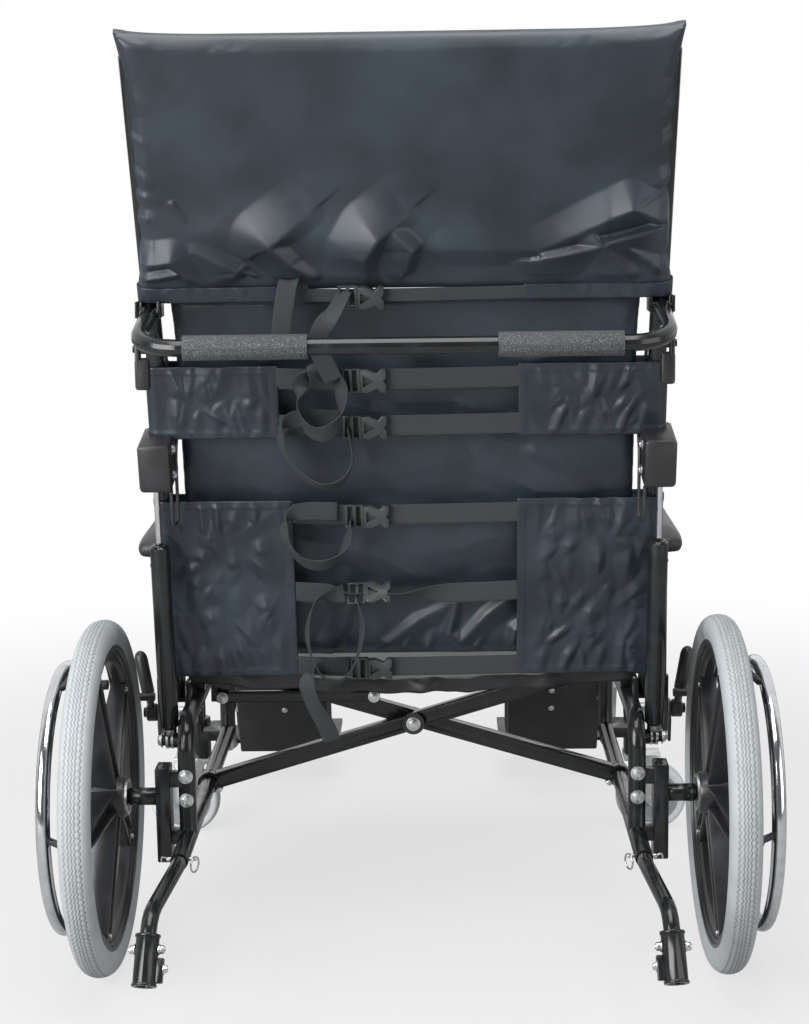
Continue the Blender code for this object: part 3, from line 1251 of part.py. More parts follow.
def legrest(side, sign, swing_body, leg_body, foot_body):
    """Swing-away hanger, elevating leg tube with its calf pad, and flip-up footplate."""
    x = sign * FRAME_X
    knee = Vector((sign * KNEE_X, KNEE_Y, KNEE_Z))
    across = Vector((1, 0, 0))
    half = KNEE_WIDTH / 2
    arm = [(x, HANGER_Y, KNEE_Z), knee - Vector((0, HANGER_STRAIGHT, 0)), knee]
    solids = [
        rod((x, HANGER_Y, HANGER_BOTTOM_Z), (x, HANGER_Y, HANGER_TOP_Z), HANGER_RADIUS),
        sweep(bent(arm, HANGER_BEND, 2), HANGER_ARM_RADIUS),
        rod(knee - across * half, knee + across * half, KNEE_RADIUS, 16),
    ]
    pin_hole = bore(knee - across * 0.05, knee + across * 0.05, KNEE_PIN_RADIUS)
    bore_low, bore_high = (x, HANGER_Y, HANGER_BOTTOM_Z - 0.01), (x, HANGER_Y, HANGER_TOP_Z + 0.01)
    post_hole = bore(bore_low, bore_high, HANGER_PIN_RADIUS)
    make(f"legrest_hanger_{side}", solids, "black_paint", swing_body, [post_hole, pin_hole])
    leg_tube(side, sign, leg_body, knee, half)
    calf_pad(side, sign, leg_body)
    footplate(side, sign, foot_body)


def leg_rectangle(x, top, bottom, rear, front):
    """Four corners of a rectangle in a legrest's own upright plane."""
    return [leg_point(x, s, v) for s, v in ((top, rear), (top, front), (bottom, front), (bottom, rear))]


def leg_tube(side, sign, carrier, knee, half):
    """Silver leg tube: cheeks on the knee, bracket behind for the calf pad and the footplate's pin."""
    x = sign * KNEE_X
    cheek_in, cheek_out = half + CLEAR, half + CLEAR + KNEE_CHEEK
    foot = Vector((x, FOOT_Y, FOOT_Z))
    across = Vector((1, 0, 0))
    solids = [rod(leg_point(x, LEG_START), foot, LEG_RADIUS)]
    turns = [math.pi * k / 8 for k in range(9)]
    tongue = [(-KNEE_RADIUS * math.sin(a), KNEE_RADIUS * math.cos(a)) for a in turns]
    tongue += [(LEG_START + KNEE_WEB, -KNEE_RADIUS), (LEG_START + KNEE_WEB, KNEE_RADIUS)]
    for face in (-1, 1):
        near, far = sorted((face * cheek_in, face * cheek_out))
        solids.append(prism([leg_point(x + near, s, v) for s, v in tongue], across * (far - near)))
    inside = cheek_out - KNEE_CHEEK / 2
    web_start, web_end = LEG_START - KNEE_WEB / 2, LEG_START + KNEE_WEB * 0.8
    web = leg_rectangle(x - inside, web_start, web_end, -KNEE_WEB / 2, KNEE_WEB / 2)
    solids.append(prism(web, across * 2 * inside))
    solids.append(rod(knee - across * inside, knee + across * inside, KNEE_PIN_RADIUS))
    solids.append(rod(foot - Vector((0, 0.010, 0)), foot + Vector((0, FOOT_PIN_LENGTH, 0)), FOOT_PIN_RADIUS))
    start = CALF_TOP_S + CALF_PLATE_DROP
    rear, front = CALF_REAR_V - CLEAR - CALF_PLATE, CALF_REAR_V - CLEAR
    plate = leg_rectangle(sign * CALF_PLATE_X, start, start + CALF_BRACKET, rear, front)
    solids.append(prism(plate, across * (x - sign * CALF_PLATE_X)))
    clamp = leg_rectangle(x - LEG_RADIUS * 0.7, start + 0.004, start + CALF_BRACKET - 0.004, rear + 0.001, 0)
    solids.append(prism(clamp, across * LEG_RADIUS * 1.4))
    make(f"legrest_tube_{side}", solids, "silver_paint", carrier)


def calf_pad(side, sign, carrier):
    """Calf pad inside the leg tube, flat on its bracket behind and crowned towards the leg."""
    middle_x = sign * (CALF_INNER_X + CALF_OUTER_X) / 2
    middle_s = CALF_TOP_S + CALF_LENGTH / 2

    def place(u, w, v):
        return leg_point(middle_x + u, middle_s + w, CALF_REAR_V + v)

    def heights(a, b):
        return 0.0, CALF_EDGE + CALF_CROWN * swell(a, b)

    form = pillow(place, CALF_OUTER_X - CALF_INNER_X, CALF_LENGTH, heights, evenly(8), evenly(8), CALF_TUCK)
    make(f"calf_pad_{side}", [form], "black_vinyl", carrier)


def footplate(side, sign, carrier):
    """Footplate on its hinge sleeve, which turns on the leg tube's pin."""
    x = sign * KNEE_X
    start_y = FOOT_Y + FOOT_GAP
    sleeve_end = start_y + FOOT_SLEEVE_LENGTH
    inner = clear_of(FOOT_PIN_RADIUS)
    sleeve = pipe((x, start_y, FOOT_Z), (x, sleeve_end, FOOT_Z), inner, FOOT_SLEEVE_RADIUS)
    edge = sign * (KNEE_X - inner - 0.002)
    low = (edge, start_y + 0.002, FOOT_Z - FOOT_THICKNESS / 2)
    high = (edge - sign * FOOT_WIDTH, start_y + FOOT_LENGTH, FOOT_Z + FOOT_THICKNESS / 2)
    make(f"footplate_{side}", [sleeve, block(low, high)], "black_plastic", carrier)


def stand_on_origin(chair):
    """Moves the chair so that the middle of its box stands over the origin."""
    bpy.context.view_layer.update()
    pieces = [obj for obj in bpy.data.objects if obj.type == "MESH"]
    places = [obj.matrix_world @ Vector(corner) for obj in pieces for corner in obj.bound_box]
    ends = [reach(place.y for place in places) for reach in (min, max)]
    chair.location.y = -sum(ends) / 2
    print("rear axle at y =", round(chair.location.y, 5))


def build():
    """The whole chair: one empty for each body, and its pieces on them."""
    clear_scene()
    chair = body("chair", (0, 0, 0), None)
    frame = body("frame", (0, 0, 0), chair)
    back = body("back", (0, BACK_PIVOT_Y, BACK_PIVOT_Z), frame)
    head = body("head_extension", head_point(0, CANE_TOP_T), back)
    cross_brace(frame)
    seat_sling(frame)
    push_bar(back)
    back_panel(back)
    for name, width, flap, straps in (
        ("middle_band", MIDDLE_FLAP_WIDTH, MIDDLE_FLAP_Z, MIDDLE_STRAP_Z),
        ("lower_band", LOWER_FLAP_WIDTH, LOWER_FLAP_Z, LOWER_STRAP_Z),
    ):
        strap_band(name, width, [back_s(z) for z in flap], [back_s(z) for z in straps], back_point, back)
    head_extension(head)
    for side, sign in SIDES.items():
        build_side(side, sign, frame, back)
    stand_on_origin(chair)


def build_side(side, sign, frame, back):
    """Every piece of one side, on the bodies that carry it."""
    x = sign * FRAME_X
    low, high, _ = gas_line(sign)
    wheel = body(f"wheel_{side}", (sign * WHEEL_X, 0, AXLE_Z), frame)
    fork = body(f"caster_swivel_{side}", (sign * CASTER_STEM_X, CASTER_STEM_Y, CROWN_TOP_Z), frame)
    caster_x = sign * (CASTER_STEM_X + CASTER_TRAIL)
    roller = body(f"caster_roll_{side}", (caster_x, CASTER_STEM_Y, CASTER_RADIUS), fork)
    barrel = body(f"gas_barrel_{side}", low, frame)
    piston = body(f"gas_piston_{side}", high, barrel)
    lever = body(f"lever_{side}", lever_pivot(sign), back)
    arm = body(f"armrest_{side}", (sign * ARM_X, ARM_REAR_Y, SOCKET_TOP_Z), frame)
    lock = body(f"lock_{side}", (sign * LOCK_HUB_X, LOCK_Y, LOCK_Z), frame)
    tipper = body(f"tipper_{side}", (x, LOWER_RAIL_REAR_Y, LOWER_RAIL_Z), frame)
    swing = body(f"hanger_{side}", (x, HANGER_Y, KNEE_Z), frame)
    leg = body(f"leg_{side}", (sign * KNEE_X, KNEE_Y, KNEE_Z), swing)
    foot = body(f"foot_{side}", (sign * KNEE_X, FOOT_Y, FOOT_Z), leg)
    side_frame(side, sign, frame)
    rear_axle(side, sign, frame)
    rear_wheel(side, sign, wheel)
    caster(side, sign, fork, roller)
    back_cane(side, sign, back)
    actuator_head(side, sign, back)
    release_cable(side, sign, back)
    release_lever(side, sign, lever)
    gas_spring(side, sign, barrel, piston)
    armrest(side, sign, arm)
    wheel_lock(side, sign, lock)
    antitipper(side, sign, tipper)
    legrest(side, sign, swing, leg, foot)


build()
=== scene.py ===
"""Looks of a reclining wheelchair: upholstery, webbing, wheels, fittings and finishes round its fixed frame.

Lengths are metres. +X is the user's right, +Y is forward and +Z is up, with the floor at z = 0.
"""

from __future__ import annotations

import json
import logging
import math
import random
from contextlib import contextmanager
from dataclasses import dataclass
from enum import Enum
from typing import Callable, Iterable, Iterator, Sequence

import bpy
import numpy as np
from mathutils import Matrix, Vector, noise

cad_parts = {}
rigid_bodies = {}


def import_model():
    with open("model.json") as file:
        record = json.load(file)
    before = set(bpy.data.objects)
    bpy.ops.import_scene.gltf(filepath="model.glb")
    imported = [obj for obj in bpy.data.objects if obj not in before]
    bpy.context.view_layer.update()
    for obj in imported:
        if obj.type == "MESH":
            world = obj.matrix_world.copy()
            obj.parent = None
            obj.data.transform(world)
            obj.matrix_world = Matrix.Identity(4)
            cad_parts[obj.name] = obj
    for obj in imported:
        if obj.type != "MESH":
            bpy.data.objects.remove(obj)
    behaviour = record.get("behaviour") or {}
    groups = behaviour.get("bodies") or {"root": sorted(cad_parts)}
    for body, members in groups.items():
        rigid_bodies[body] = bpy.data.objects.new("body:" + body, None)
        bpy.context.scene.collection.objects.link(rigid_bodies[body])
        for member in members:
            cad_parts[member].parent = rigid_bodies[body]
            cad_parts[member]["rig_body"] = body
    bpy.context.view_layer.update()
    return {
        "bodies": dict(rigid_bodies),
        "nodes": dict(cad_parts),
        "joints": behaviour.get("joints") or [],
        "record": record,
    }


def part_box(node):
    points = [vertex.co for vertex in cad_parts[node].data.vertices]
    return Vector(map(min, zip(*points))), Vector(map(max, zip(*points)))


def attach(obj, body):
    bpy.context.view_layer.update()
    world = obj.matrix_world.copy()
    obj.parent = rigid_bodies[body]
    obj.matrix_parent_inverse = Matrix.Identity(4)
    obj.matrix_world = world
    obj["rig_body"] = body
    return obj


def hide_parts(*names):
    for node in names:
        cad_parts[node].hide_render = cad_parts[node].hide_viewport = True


LOG = logging.getLogger("wheelchair")
AXLE_Y = -0.30692
AXLE_Z = 0.254
WHEEL_X = 0.442

Piece = bpy.types.Object
Point = Sequence[float]
Placing = Callable[[float, float], Vector]


class Side(Enum):
    """A side of the chair, as the user sits in it."""

    LEFT = -1
    RIGHT = 1

    @property
    def word(self) -> str:
        """The side's word in piece and body names."""
        return self.name.lower()


class Head(Enum):
    """The kinds of fastener head."""

    HEX = 6
    ROUND = 20


class Field:
    """A value in a shader, which wraps a socket so that maths reads as an expression."""

    def __init__(self, paint: Paint, socket: bpy.types.NodeSocket) -> None:
        """Args:
        paint: The material that the value belongs to.
        socket: The output socket that gives the value.
        """
        self.paint = paint
        self.socket = socket

    def __add__(self, other: Field | float) -> Field:
        """The sum."""
        return self.paint.maths("ADD", self, other)

    __radd__ = __add__

    def __mul__(self, other: Field | float) -> Field:
        """The product."""
        return self.paint.maths("MULTIPLY", self, other)

    __rmul__ = __mul__

    def __sub__(self, other: Field | float) -> Field:
        """The difference."""
        return self.paint.maths("SUBTRACT", self, other)

    def __rsub__(self, other: Field | float) -> Field:
        """The difference, from a number."""
        return self.paint.maths("SUBTRACT", other, self)

    def __gt__(self, other: Field | float) -> Field:
        """One where the value is larger, and zero elsewhere."""
        return self.paint.maths("GREATER_THAN", self, other)

    def __lt__(self, other: Field | float) -> Field:
        """One where the value is smaller, and zero elsewhere."""
        return self.paint.maths("LESS_THAN", self, other)

    def sine(self) -> Field:
        """The sine of the value."""
        return self.paint.maths("SINE", self)

    def size(self) -> Field:
        """The value without its sign."""
        return self.paint.maths("ABSOLUTE", self)

    def eased(self, low: float, high: float) -> Field:
        """The value as a share with soft ends, 0 up to the low value and 1 from the high one."""
        inputs = {"Value": self, "From Min": low, "From Max": high}
        return self.paint.node("ShaderNodeMapRange", {"interpolation_type": "SMOOTHSTEP"}, inputs)


class Paint:
    """One material's nodes, added through a few methods."""

    def __init__(self, owner: bpy.types.Material | bpy.types.World) -> None:
        """Args:
        owner: The material or world that the nodes belong to.
        """
        self.material = owner
        owner.use_nodes = True
        self.tree = owner.node_tree
        self.shader = self.tree.nodes.get("Principled BSDF")

    def node(
        self, kind: str, settings: dict | None = None, inputs: dict | None = None, output: int | str = 0
    ) -> Field:
        """Adds a node.

        Args:
            kind: The node's type.
            settings: Its own settings, set first.
            inputs: Values or links for its sockets, by name or index.
            output: The output that is wanted.

        Returns:
            That output as a value.
        """
        made = self.tree.nodes.new(kind)
        for name, value in (settings or {}).items():
            setattr(made, name, value)
        for name, value in (inputs or {}).items():
            self.join(made.inputs[name], value)
        return Field(self, made.outputs[output])

    def join(self, socket: bpy.types.NodeSocket, value: Field | float | Point) -> None:
        """Links a value to a socket, or sets it there.

        Args:
            socket: The input socket.
            value: What feeds it.
        """
        if isinstance(value, Field):
            self.tree.links.new(value.socket, socket)
        else:
            socket.default_value = value

    def maths(self, operation: str, *values: Field | float) -> Field:
        """The result of a Math node on one or two values."""
        return self.node("ShaderNodeMath", {"operation": operation}, dict(enumerate(values)))

    def mix(self, share: Field, first: Field | Point, second: Field | Point) -> Field:
        """Mixes two colours.

        Args:
            share: How much of the second colour there is.
            first: The first colour.
            second: The second colour.

        Returns:
            The mixed colour.
        """
        colours = {6: first if isinstance(first, Field) else (*first, 1.0)}
        colours[7] = second if isinstance(second, Field) else (*second, 1.0)
        return self.node("ShaderNodeMix", {"data_type": "RGBA"}, {0: share, **colours}, 2)

    def place(self, kind: str = "Object") -> Field:
        """The place on the piece, in Object or UV coordinates."""
        return self.node("ShaderNodeTexCoord", output=kind)

    def mark(self, name: str) -> Field:
        """A value that the piece's own mesh holds, or zero where it holds none."""
        return self.node("ShaderNodeAttribute", {"attribute_name": name}, output="Fac")

    def axis(self, vector: Field, letter: str) -> Field:
        """One of a vector's three numbers."""
        return self.node("ShaderNodeSeparateXYZ", None, {0: vector}, letter)

    def grain(self, vector: Field, scale: float, detail: float = 2.0) -> Field:
        """Soft noise around 0.5, with a number of grains in a metre and finer noise on them."""
        return self.node("ShaderNodeTexNoise", None, {"Vector": vector, "Scale": scale, "Detail": detail})

    def cells(self, vector: Field, scale: float) -> Field:
        """The distance to the middle of the nearest cell."""
        return self.node("ShaderNodeTexVoronoi", None, {"Vector": vector, "Scale": scale})

    def relief(self, height: Field, strength: float, distance: float) -> None:
        """Feeds a height, of which 1 stands for a distance in metres, to the surface's normal."""
        inputs = {"Strength": strength, "Distance": distance, "Height": height}
        self.feed({"Normal": self.node("ShaderNodeBump", None, inputs)})

    def feed(self, values: dict[str, Field | float | Point]) -> None:
        """Feeds values or links to the surface's sockets, by name."""
        for name, value in values.items():
            self.join(self.shader.inputs[name], value)


@dataclass(frozen=True)
class Finish:
    """A finish of the chair, with the slot of the record that it belongs to."""

    name: str
    slot: str
    colour: tuple[float, float, float]
    roughness: float
    metallic: float = 0.0

    def material(self) -> bpy.types.Material:
        """The finish's material, made the first time it is asked for."""
        if self.name in bpy.data.materials:
            return bpy.data.materials[self.name]
        paint = Paint(bpy.data.materials.new(self.name))
        paint.feed({"Base Color": (*self.colour, 1.0), "Roughness": self.roughness})
        paint.feed({"Metallic": self.metallic})
        self.work(paint)
        return paint.material

    def work(self, paint: Paint) -> None:
        """Adds what varies over the surface."""

    def tones(self, dark: float, light: float) -> tuple[Point, Point]:
        """The finish's colour made darker and lighter."""
        return [c * dark for c in self.colour], [c * light for c in self.colour]

    def dress(self, obj: Piece) -> None:
        """Puts the finish on a piece."""
        obj.data.materials.clear()
        obj.data.materials.append(self.material())


@dataclass(frozen=True)
class GlossPaint(Finish):
    """Powder coat with a little orange peel, hazed where hands and floors rub it."""

    coat: float = 0.12

    def work(self, paint: Paint) -> None:
        """Adds the peel and the haze."""
        place = paint.place()
        haze = paint.grain(place, 34.0, 4.0).eased(0.42, 0.78)
        dark, light = self.tones(0.9, 1.5)
        paint.feed({"Base Color": paint.mix(haze, dark, light), "Roughness": haze * 0.16 + self.roughness})
        paint.feed({"Coat Weight": self.coat, "Coat Roughness": 0.12, "Specular IOR Level": 0.36})
        paint.relief(paint.grain(place, 520.0), 0.06, 0.0006)


@dataclass(frozen=True)
class PlatedMetal(Finish):
    """Plated steel with faint smears."""

    smear: float = 0.1

    def work(self, paint: Paint) -> None:
        """Adds the smears."""
        place = paint.place()
        smears = paint.grain(place, 60.0, 4.0).eased(0.4, 0.75)
        dark, light = self.tones(0.82, 1.0)
        colour = paint.mix(smears, light, dark)
        paint.feed({"Base Color": colour, "Roughness": smears * self.smear + self.roughness})


@dataclass(frozen=True)
class Moulding(Finish):
    """Moulded plastic with a fine spark-eroded grain."""

    grain_scale: float = 900.0
    grain_depth: float = 0.12

    def work(self, paint: Paint) -> None:
        """Adds the grain and a little dust."""
        place = paint.place()
        dust = paint.grain(place, 22.0, 3.0).eased(0.45, 0.8)
        dark, light = self.tones(0.85, 1.5)
        paint.feed({"Base Color": paint.mix(dust, dark, light), "Roughness": dust * 0.14 + self.roughness})
        paint.relief(paint.grain(place, self.grain_scale), self.grain_depth, 0.0004)


@dataclass(frozen=True)
class Rubber(Finish):
    """Light rubber, a little uneven, darker in the grooves that its piece marks."""

    def work(self, paint: Paint) -> None:
        """Adds the dust, the darkening in the grooves and a fine skin."""
        place = paint.place()
        dust = paint.grain(place, 46.0, 5.0).eased(0.30, 0.80)
        dark, light = self.tones(0.92, 1.02)
        groove = paint.mark("groove")
        colour = paint.mix(groove * 0.75, paint.mix(dust, light, dark), [c * 0.30 for c in self.colour])
        paint.feed({"Base Color": colour, "Roughness": dust * 0.08 + self.roughness})
        paint.relief(paint.grain(place, 700.0), 0.10, 0.0005)


@dataclass(frozen=True)
class Foam(Finish):
    """Grey foam with pale flecks and open pores."""

    def work(self, paint: Paint) -> None:
        """Adds the flecks and the pores."""
        place = paint.place()
        flecks = paint.grain(place, 620.0, 1.0).eased(0.52, 0.68)
        dark, light = self.tones(0.72, 2.1)
        paint.feed({"Base Color": paint.mix(flecks, dark, light)})
        paint.relief(paint.cells(place, 420.0) + paint.grain(place, 900.0), 0.5, 0.0006)


@dataclass(frozen=True)
class CoatedCloth(Finish):
    """Coated nylon with a plain weave, a low sheen and stitches along the hems that its piece marks."""

    threads: float = 1100.0
    sheen: float = 0.03
    seam: float = 0.0075
    stitch: float = 0.0034

    def work(self, paint: Paint) -> None:
        """Adds the weave, the handling marks, the sheen and the stitches."""
        place = paint.place()
        across = (paint.axis(place, "X") * self.threads * math.pi).sine()
        upward = (paint.axis(place, "Z") * self.threads * math.pi).sine()
        marks = paint.grain(place, 7.0, 5.0).eased(0.32, 0.70)
        slubs = paint.grain(place, 260.0, 3.0)
        line = 1 - ((paint.mark("hem") - self.seam).size()).eased(0.0004, 0.0012)
        thread = ((paint.mark("along") * (2 * math.pi / self.stitch)).sine() > -0.35) * line
        dark, light = self.tones(0.66, 1.50)
        cloth = paint.mix(line * 0.6, paint.mix(marks, dark, light), [c * 0.45 for c in self.colour])
        colour = paint.mix(thread * 0.8, cloth, [c * 1.7 for c in self.colour])
        paint.feed({"Base Color": colour, "Roughness": marks * 0.10 + slubs * 0.10 + self.roughness})
        paint.feed({"Sheen Weight": self.sheen, "Sheen Roughness": 0.4, "Specular IOR Level": 0.5})
        paint.relief(across * upward * 0.35 + slubs - line * 1.6 + thread * 1.6, 0.14, 0.0006)


@dataclass(frozen=True)
class Webbing(Finish):
    """Woven strap with ribs across it and a bound edge, read from the strap's own UV map in metres."""

    pitch: float = 0.0016
    width: float = 0.030

    def work(self, paint: Paint) -> None:
        """Adds the ribs, the edges and some fluff."""
        place = paint.place("UV")
        along, across = paint.axis(place, "Y"), paint.axis(place, "X")
        ribs = (along * (2 * math.pi / self.pitch)).sine()
        lanes = (across * (2 * math.pi / (self.pitch * 1.6))).sine()
        edge = (across.size()).eased(0.40 * self.width, 0.49 * self.width)
        fluff = paint.grain(paint.place(), 340.0, 3.0)
        dark, light = self.tones(0.72, 1.25)
        paint.feed({"Base Color": paint.mix(fluff * 0.7 + edge * 0.3, light, dark)})
        paint.relief(ribs * lanes + edge * 0.8 + fluff, 0.35, 0.0005)


@dataclass(frozen=True)
class Vinyl(Finish):
    """Soft vinyl with a leather grain."""

    def work(self, paint: Paint) -> None:
        """Adds the grain and worn, shinier patches."""
        place = paint.place()
        cells = paint.cells(place, 480.0)
        worn = paint.grain(place, 14.0, 3.0).eased(0.4, 0.75)
        dark, light = self.tones(0.9, 1.6)
        paint.feed({"Base Color": paint.mix(worn, dark, light), "Roughness": self.roughness - worn * 0.12})
        paint.relief(cells + paint.grain(place, 160.0), 0.22, 0.0006)


BLACK_PAINT = GlossPaint("black_powder_coat", "black_paint", (0.010, 0.011, 0.012), 0.17)
SILVER_PAINT = GlossPaint("silver_powder_coat", "silver_paint", (0.42, 0.44, 0.46), 0.34, 0.55, 0.1)
CHROME = PlatedMetal("polished_chrome", "chrome", (0.62, 0.63, 0.65), 0.10, 1.0, 0.02)
ZINC = PlatedMetal("bright_zinc", "zinc_steel", (0.60, 0.61, 0.62), 0.26, 1.0, 0.20)
BLACK_PLASTIC = Moulding("black_moulding", "black_plastic", (0.018, 0.018, 0.020), 0.40)
WHEEL_PLASTIC = Moulding("wheel_moulding", "black_plastic", (0.020, 0.021, 0.023), 0.30, 0.0, 420.0, 0.08)
BUCKLE_PLASTIC = Moulding("buckle_moulding", "black_plastic", (0.030, 0.034, 0.035), 0.36)
HUB_PLASTIC = Moulding("caster_hub_moulding", "grey_tyre", (0.25, 0.28, 0.30), 0.45)
GREY_TYRE = Rubber("light_grey_rubber", "grey_tyre", (0.365, 0.39, 0.405), 0.62)
# The casters' rubber is the tyres' grey rubber made lighter: painted light that makes up for the shade that
# the casters stand in.
CASTER_TYRE_PAINTED_LIGHT = Rubber("caster_rubber", "grey_tyre", (0.62, 0.65, 0.67), 0.58)
GREY_FOAM = Foam("speckled_foam", "grey_foam", (0.062, 0.066, 0.070), 0.95)
NAVY_NYLON = CoatedCloth("navy_coated_nylon", "navy_nylon", (0.0120, 0.0190, 0.0278), 0.34)
BLACK_HEM = CoatedCloth("black_seat_cloth", "navy_nylon", (0.012, 0.013, 0.015), 0.36)
STRAP = Webbing("grey_green_webbing", "navy_nylon", (0.024, 0.030, 0.032), 0.78)
BLACK_VINYL = Vinyl("soft_black_vinyl", "black_vinyl", (0.014, 0.014, 0.016), 0.50)

HARD_FINISHES = (BLACK_PAINT, SILVER_PAINT, CHROME, ZINC, BLACK_PLASTIC)
SOFT_FINISHES = (GREY_TYRE, GREY_FOAM, NAVY_NYLON, BLACK_VINYL)
NODE_FINISHES: dict[str, Finish] = {finish.slot: finish for finish in HARD_FINISHES + SOFT_FINISHES}
SOFT_NODES = ("seat_sling", "back_panel", "head_pad", "head_band", "middle_band", "lower_band")
REMADE_NODES = ("arm_pad", "calf_pad", "rear_wheel", "tyre", "handrim", "caster_wheel", "wheel_lock")
ROUNDED_NODES = {"actuator_head": 0.0090, "release_lever": 0.0036}


class Bench:
    """Modelling moves with Blender's own tools, which leave each piece at the origin, placed by its mesh."""

    SMOOTH_ANGLE = math.radians(38)
    CLOTH_FRAMES = 20

    @staticmethod
    def free() -> None:
        """Leaves edit mode and lets go of everything."""
        if bpy.context.object and bpy.context.object.mode != "OBJECT":
            bpy.ops.object.mode_set(mode="OBJECT")
        bpy.ops.object.select_all(action="DESELECT")

    @staticmethod
    def take(obj: Piece) -> None:
        """Takes hold of one piece alone."""
        Bench.free()
        obj.select_set(True)
        bpy.context.view_layer.objects.active = obj

    @staticmethod
    def added(name: str, data: bpy.types.ID) -> Piece:
        """A new object in the scene that holds a mesh, a curve, a camera or a lamp."""
        obj = bpy.data.objects.new(name, data)
        bpy.context.scene.collection.objects.link(obj)
        return obj

    @staticmethod
    @contextmanager
    def editing(obj: Piece) -> Iterator[None]:
        """Holds a piece in edit mode with all of it selected."""
        Bench.take(obj)
        bpy.ops.object.mode_set(mode="EDIT")
        bpy.ops.mesh.select_all(action="SELECT")
        yield
        bpy.ops.object.mode_set(mode="OBJECT")

    @staticmethod
    def spots(obj: Piece) -> np.ndarray:
        """The places of a piece's points."""
        return np.array([vert.co[:] for vert in obj.data.vertices])

    @staticmethod
    def move(obj: Piece, spots: np.ndarray) -> None:
        """Puts a piece's points at new places."""
        obj.data.vertices.foreach_set("co", spots.ravel())
        obj.data.update()

    @staticmethod
    def mark(obj: Piece, name: str, values: np.ndarray) -> None:
        """Keeps a value for each of a piece's points, which its finish reads."""
        obj.data.attributes.new(name, "FLOAT", "POINT").data.foreach_set("value", values)

    @staticmethod
    def settle(obj: Piece, name: str, bevel: float = 0.0, segments: int = 2) -> Piece:
        """Names a piece, puts its place into its mesh, rounds its edges and shades it.

        Args:
            obj: The piece.
            name: Its name.
            bevel: The rounding of its edges.
            segments: The steps of the rounding.

        Returns:
            The piece.
        """
        Bench.take(obj)
        bpy.ops.object.transform_apply(location=True, rotation=True, scale=True)
        obj.name = obj.data.name = name
        if bevel:
            Bench.modify(obj, "BEVEL", width=bevel, segments=segments, limit_method="ANGLE")
        Bench.take(obj)
        bpy.ops.object.shade_smooth_by_angle(angle=Bench.SMOOTH_ANGLE)
        return obj

    @staticmethod
    def modify(obj: Piece, kind: str, **settings: object) -> None:
        """Adds a modifier and applies it.

        Args:
            obj: The piece.
            kind: The modifier's type.
            settings: Its settings.
        """
        Bench.take(obj)
        change = obj.modifiers.new(kind.lower(), kind)
        for name, value in settings.items():
            setattr(change, name, value)
        bpy.ops.object.modifier_apply(modifier=change.name)

    @staticmethod
    def rod(
        name: str, start: Point, end: Point, radius: float, sides: int = 24, bevel: float = 0.0
    ) -> Piece:
        """A round bar between two points.

        Args:
            name: The piece's name.
            start: The middle of its first end.
            end: The middle of its other end.
            radius: Its radius.
            sides: How many sides it has.
            bevel: The rounding of its edges.

        Returns:
            The piece.
        """
        start, end = Vector(start), Vector(end)
        way, middle = end - start, (start + end) / 2
        turn = way.to_track_quat("Z", "Y").to_euler()
        Bench.free()
        bpy.ops.mesh.primitive_cylinder_add(
            vertices=sides, radius=radius, depth=way.length, location=middle, rotation=turn
        )
        return Bench.settle(bpy.context.object, name, bevel)

    @staticmethod
    def hexahedron(name: str, corners: Sequence[Point], bevel: float = 0.0) -> Piece:
        """A block with eight given corners.

        Args:
            name: The piece's name.
            corners: Four corners of one end in order, then the four across from them.
            bevel: The rounding of its edges.

        Returns:
            The piece.
        """
        Bench.free()
        bpy.ops.mesh.primitive_cube_add(size=2)
        obj = bpy.context.object
        ring = ((-1, -1), (1, -1), (1, 1), (-1, 1))
        order = [(*corner, end) for end in (-1, 1) for corner in ring]
        for vert in obj.data.vertices:
            vert.co = corners[order.index(tuple(round(c) for c in vert.co))]
        Bench.outward(obj)
        return Bench.settle(obj, name, bevel)

    @staticmethod
    def outward(obj: Piece) -> None:
        """Merges doubles and turns every face outwards."""
        with Bench.editing(obj):
            bpy.ops.mesh.remove_doubles(threshold=1e-6)
            bpy.ops.mesh.normals_make_consistent(inside=False)

    @staticmethod
    def outline(name: str, points: Sequence[Point], closed: bool) -> Piece:
        """A wire through points, as a start for spinning or extruding.

        Args:
            name: The piece's name.
            points: The wire's points.
            closed: Whether it runs back to its start.

        Returns:
            The piece.
        """
        mesh = bpy.data.meshes.new(name)
        count = len(points)
        edges = [(i, (i + 1) % count) for i in range(count if closed else count - 1)]
        mesh.from_pydata([tuple(p) for p in points], edges, [])
        return Bench.added(name, mesh)

    @staticmethod
    def plate(name: str, points: Sequence[Point], depth: Point, bevel: float = 0.0) -> Piece:
        """A flat outline extruded to a plate.

        Args:
            name: The piece's name.
            points: The outline's corners, in order.
            depth: How far and which way it is extruded.
            bevel: The rounding of its edges.

        Returns:
            The piece.
        """
        obj = Bench.outline(name, points, True)
        with Bench.editing(obj):
            bpy.ops.mesh.edge_face_add()
            bpy.ops.mesh.extrude_region_move(TRANSFORM_OT_translate={"value": tuple(depth)})
        Bench.outward(obj)
        return Bench.settle(obj, name, bevel)

    @staticmethod
    def spun(
        name: str, profile: Sequence[Point], centre: Point, axis: Point, steps: int, closed: bool = True
    ) -> Piece:
        """A turned piece.

        Args:
            name: The piece's name.
            profile: Points as (distance along the axis, radius).
            centre: The point that distances are measured from.
            axis: The way the axis points.
            steps: How many steps the turn has.
            closed: Whether the profile is a loop; otherwise its ends lie on the axis.

        Returns:
            The piece.
        """
        obj = Bench.outline(name, [(r, 0.0, a) for a, r in profile], closed)
        turn = {"axis": "Z", "angle": 2 * math.pi, "steps": steps, "render_steps": steps}
        Bench.modify(obj, "SCREW", use_merge_vertices=True, merge_threshold=1e-6, **turn)
        obj.location, obj.rotation_euler = centre, Vector(axis).to_track_quat("Z", "Y").to_euler()
        Bench.outward(obj)
        return Bench.settle(obj, name)

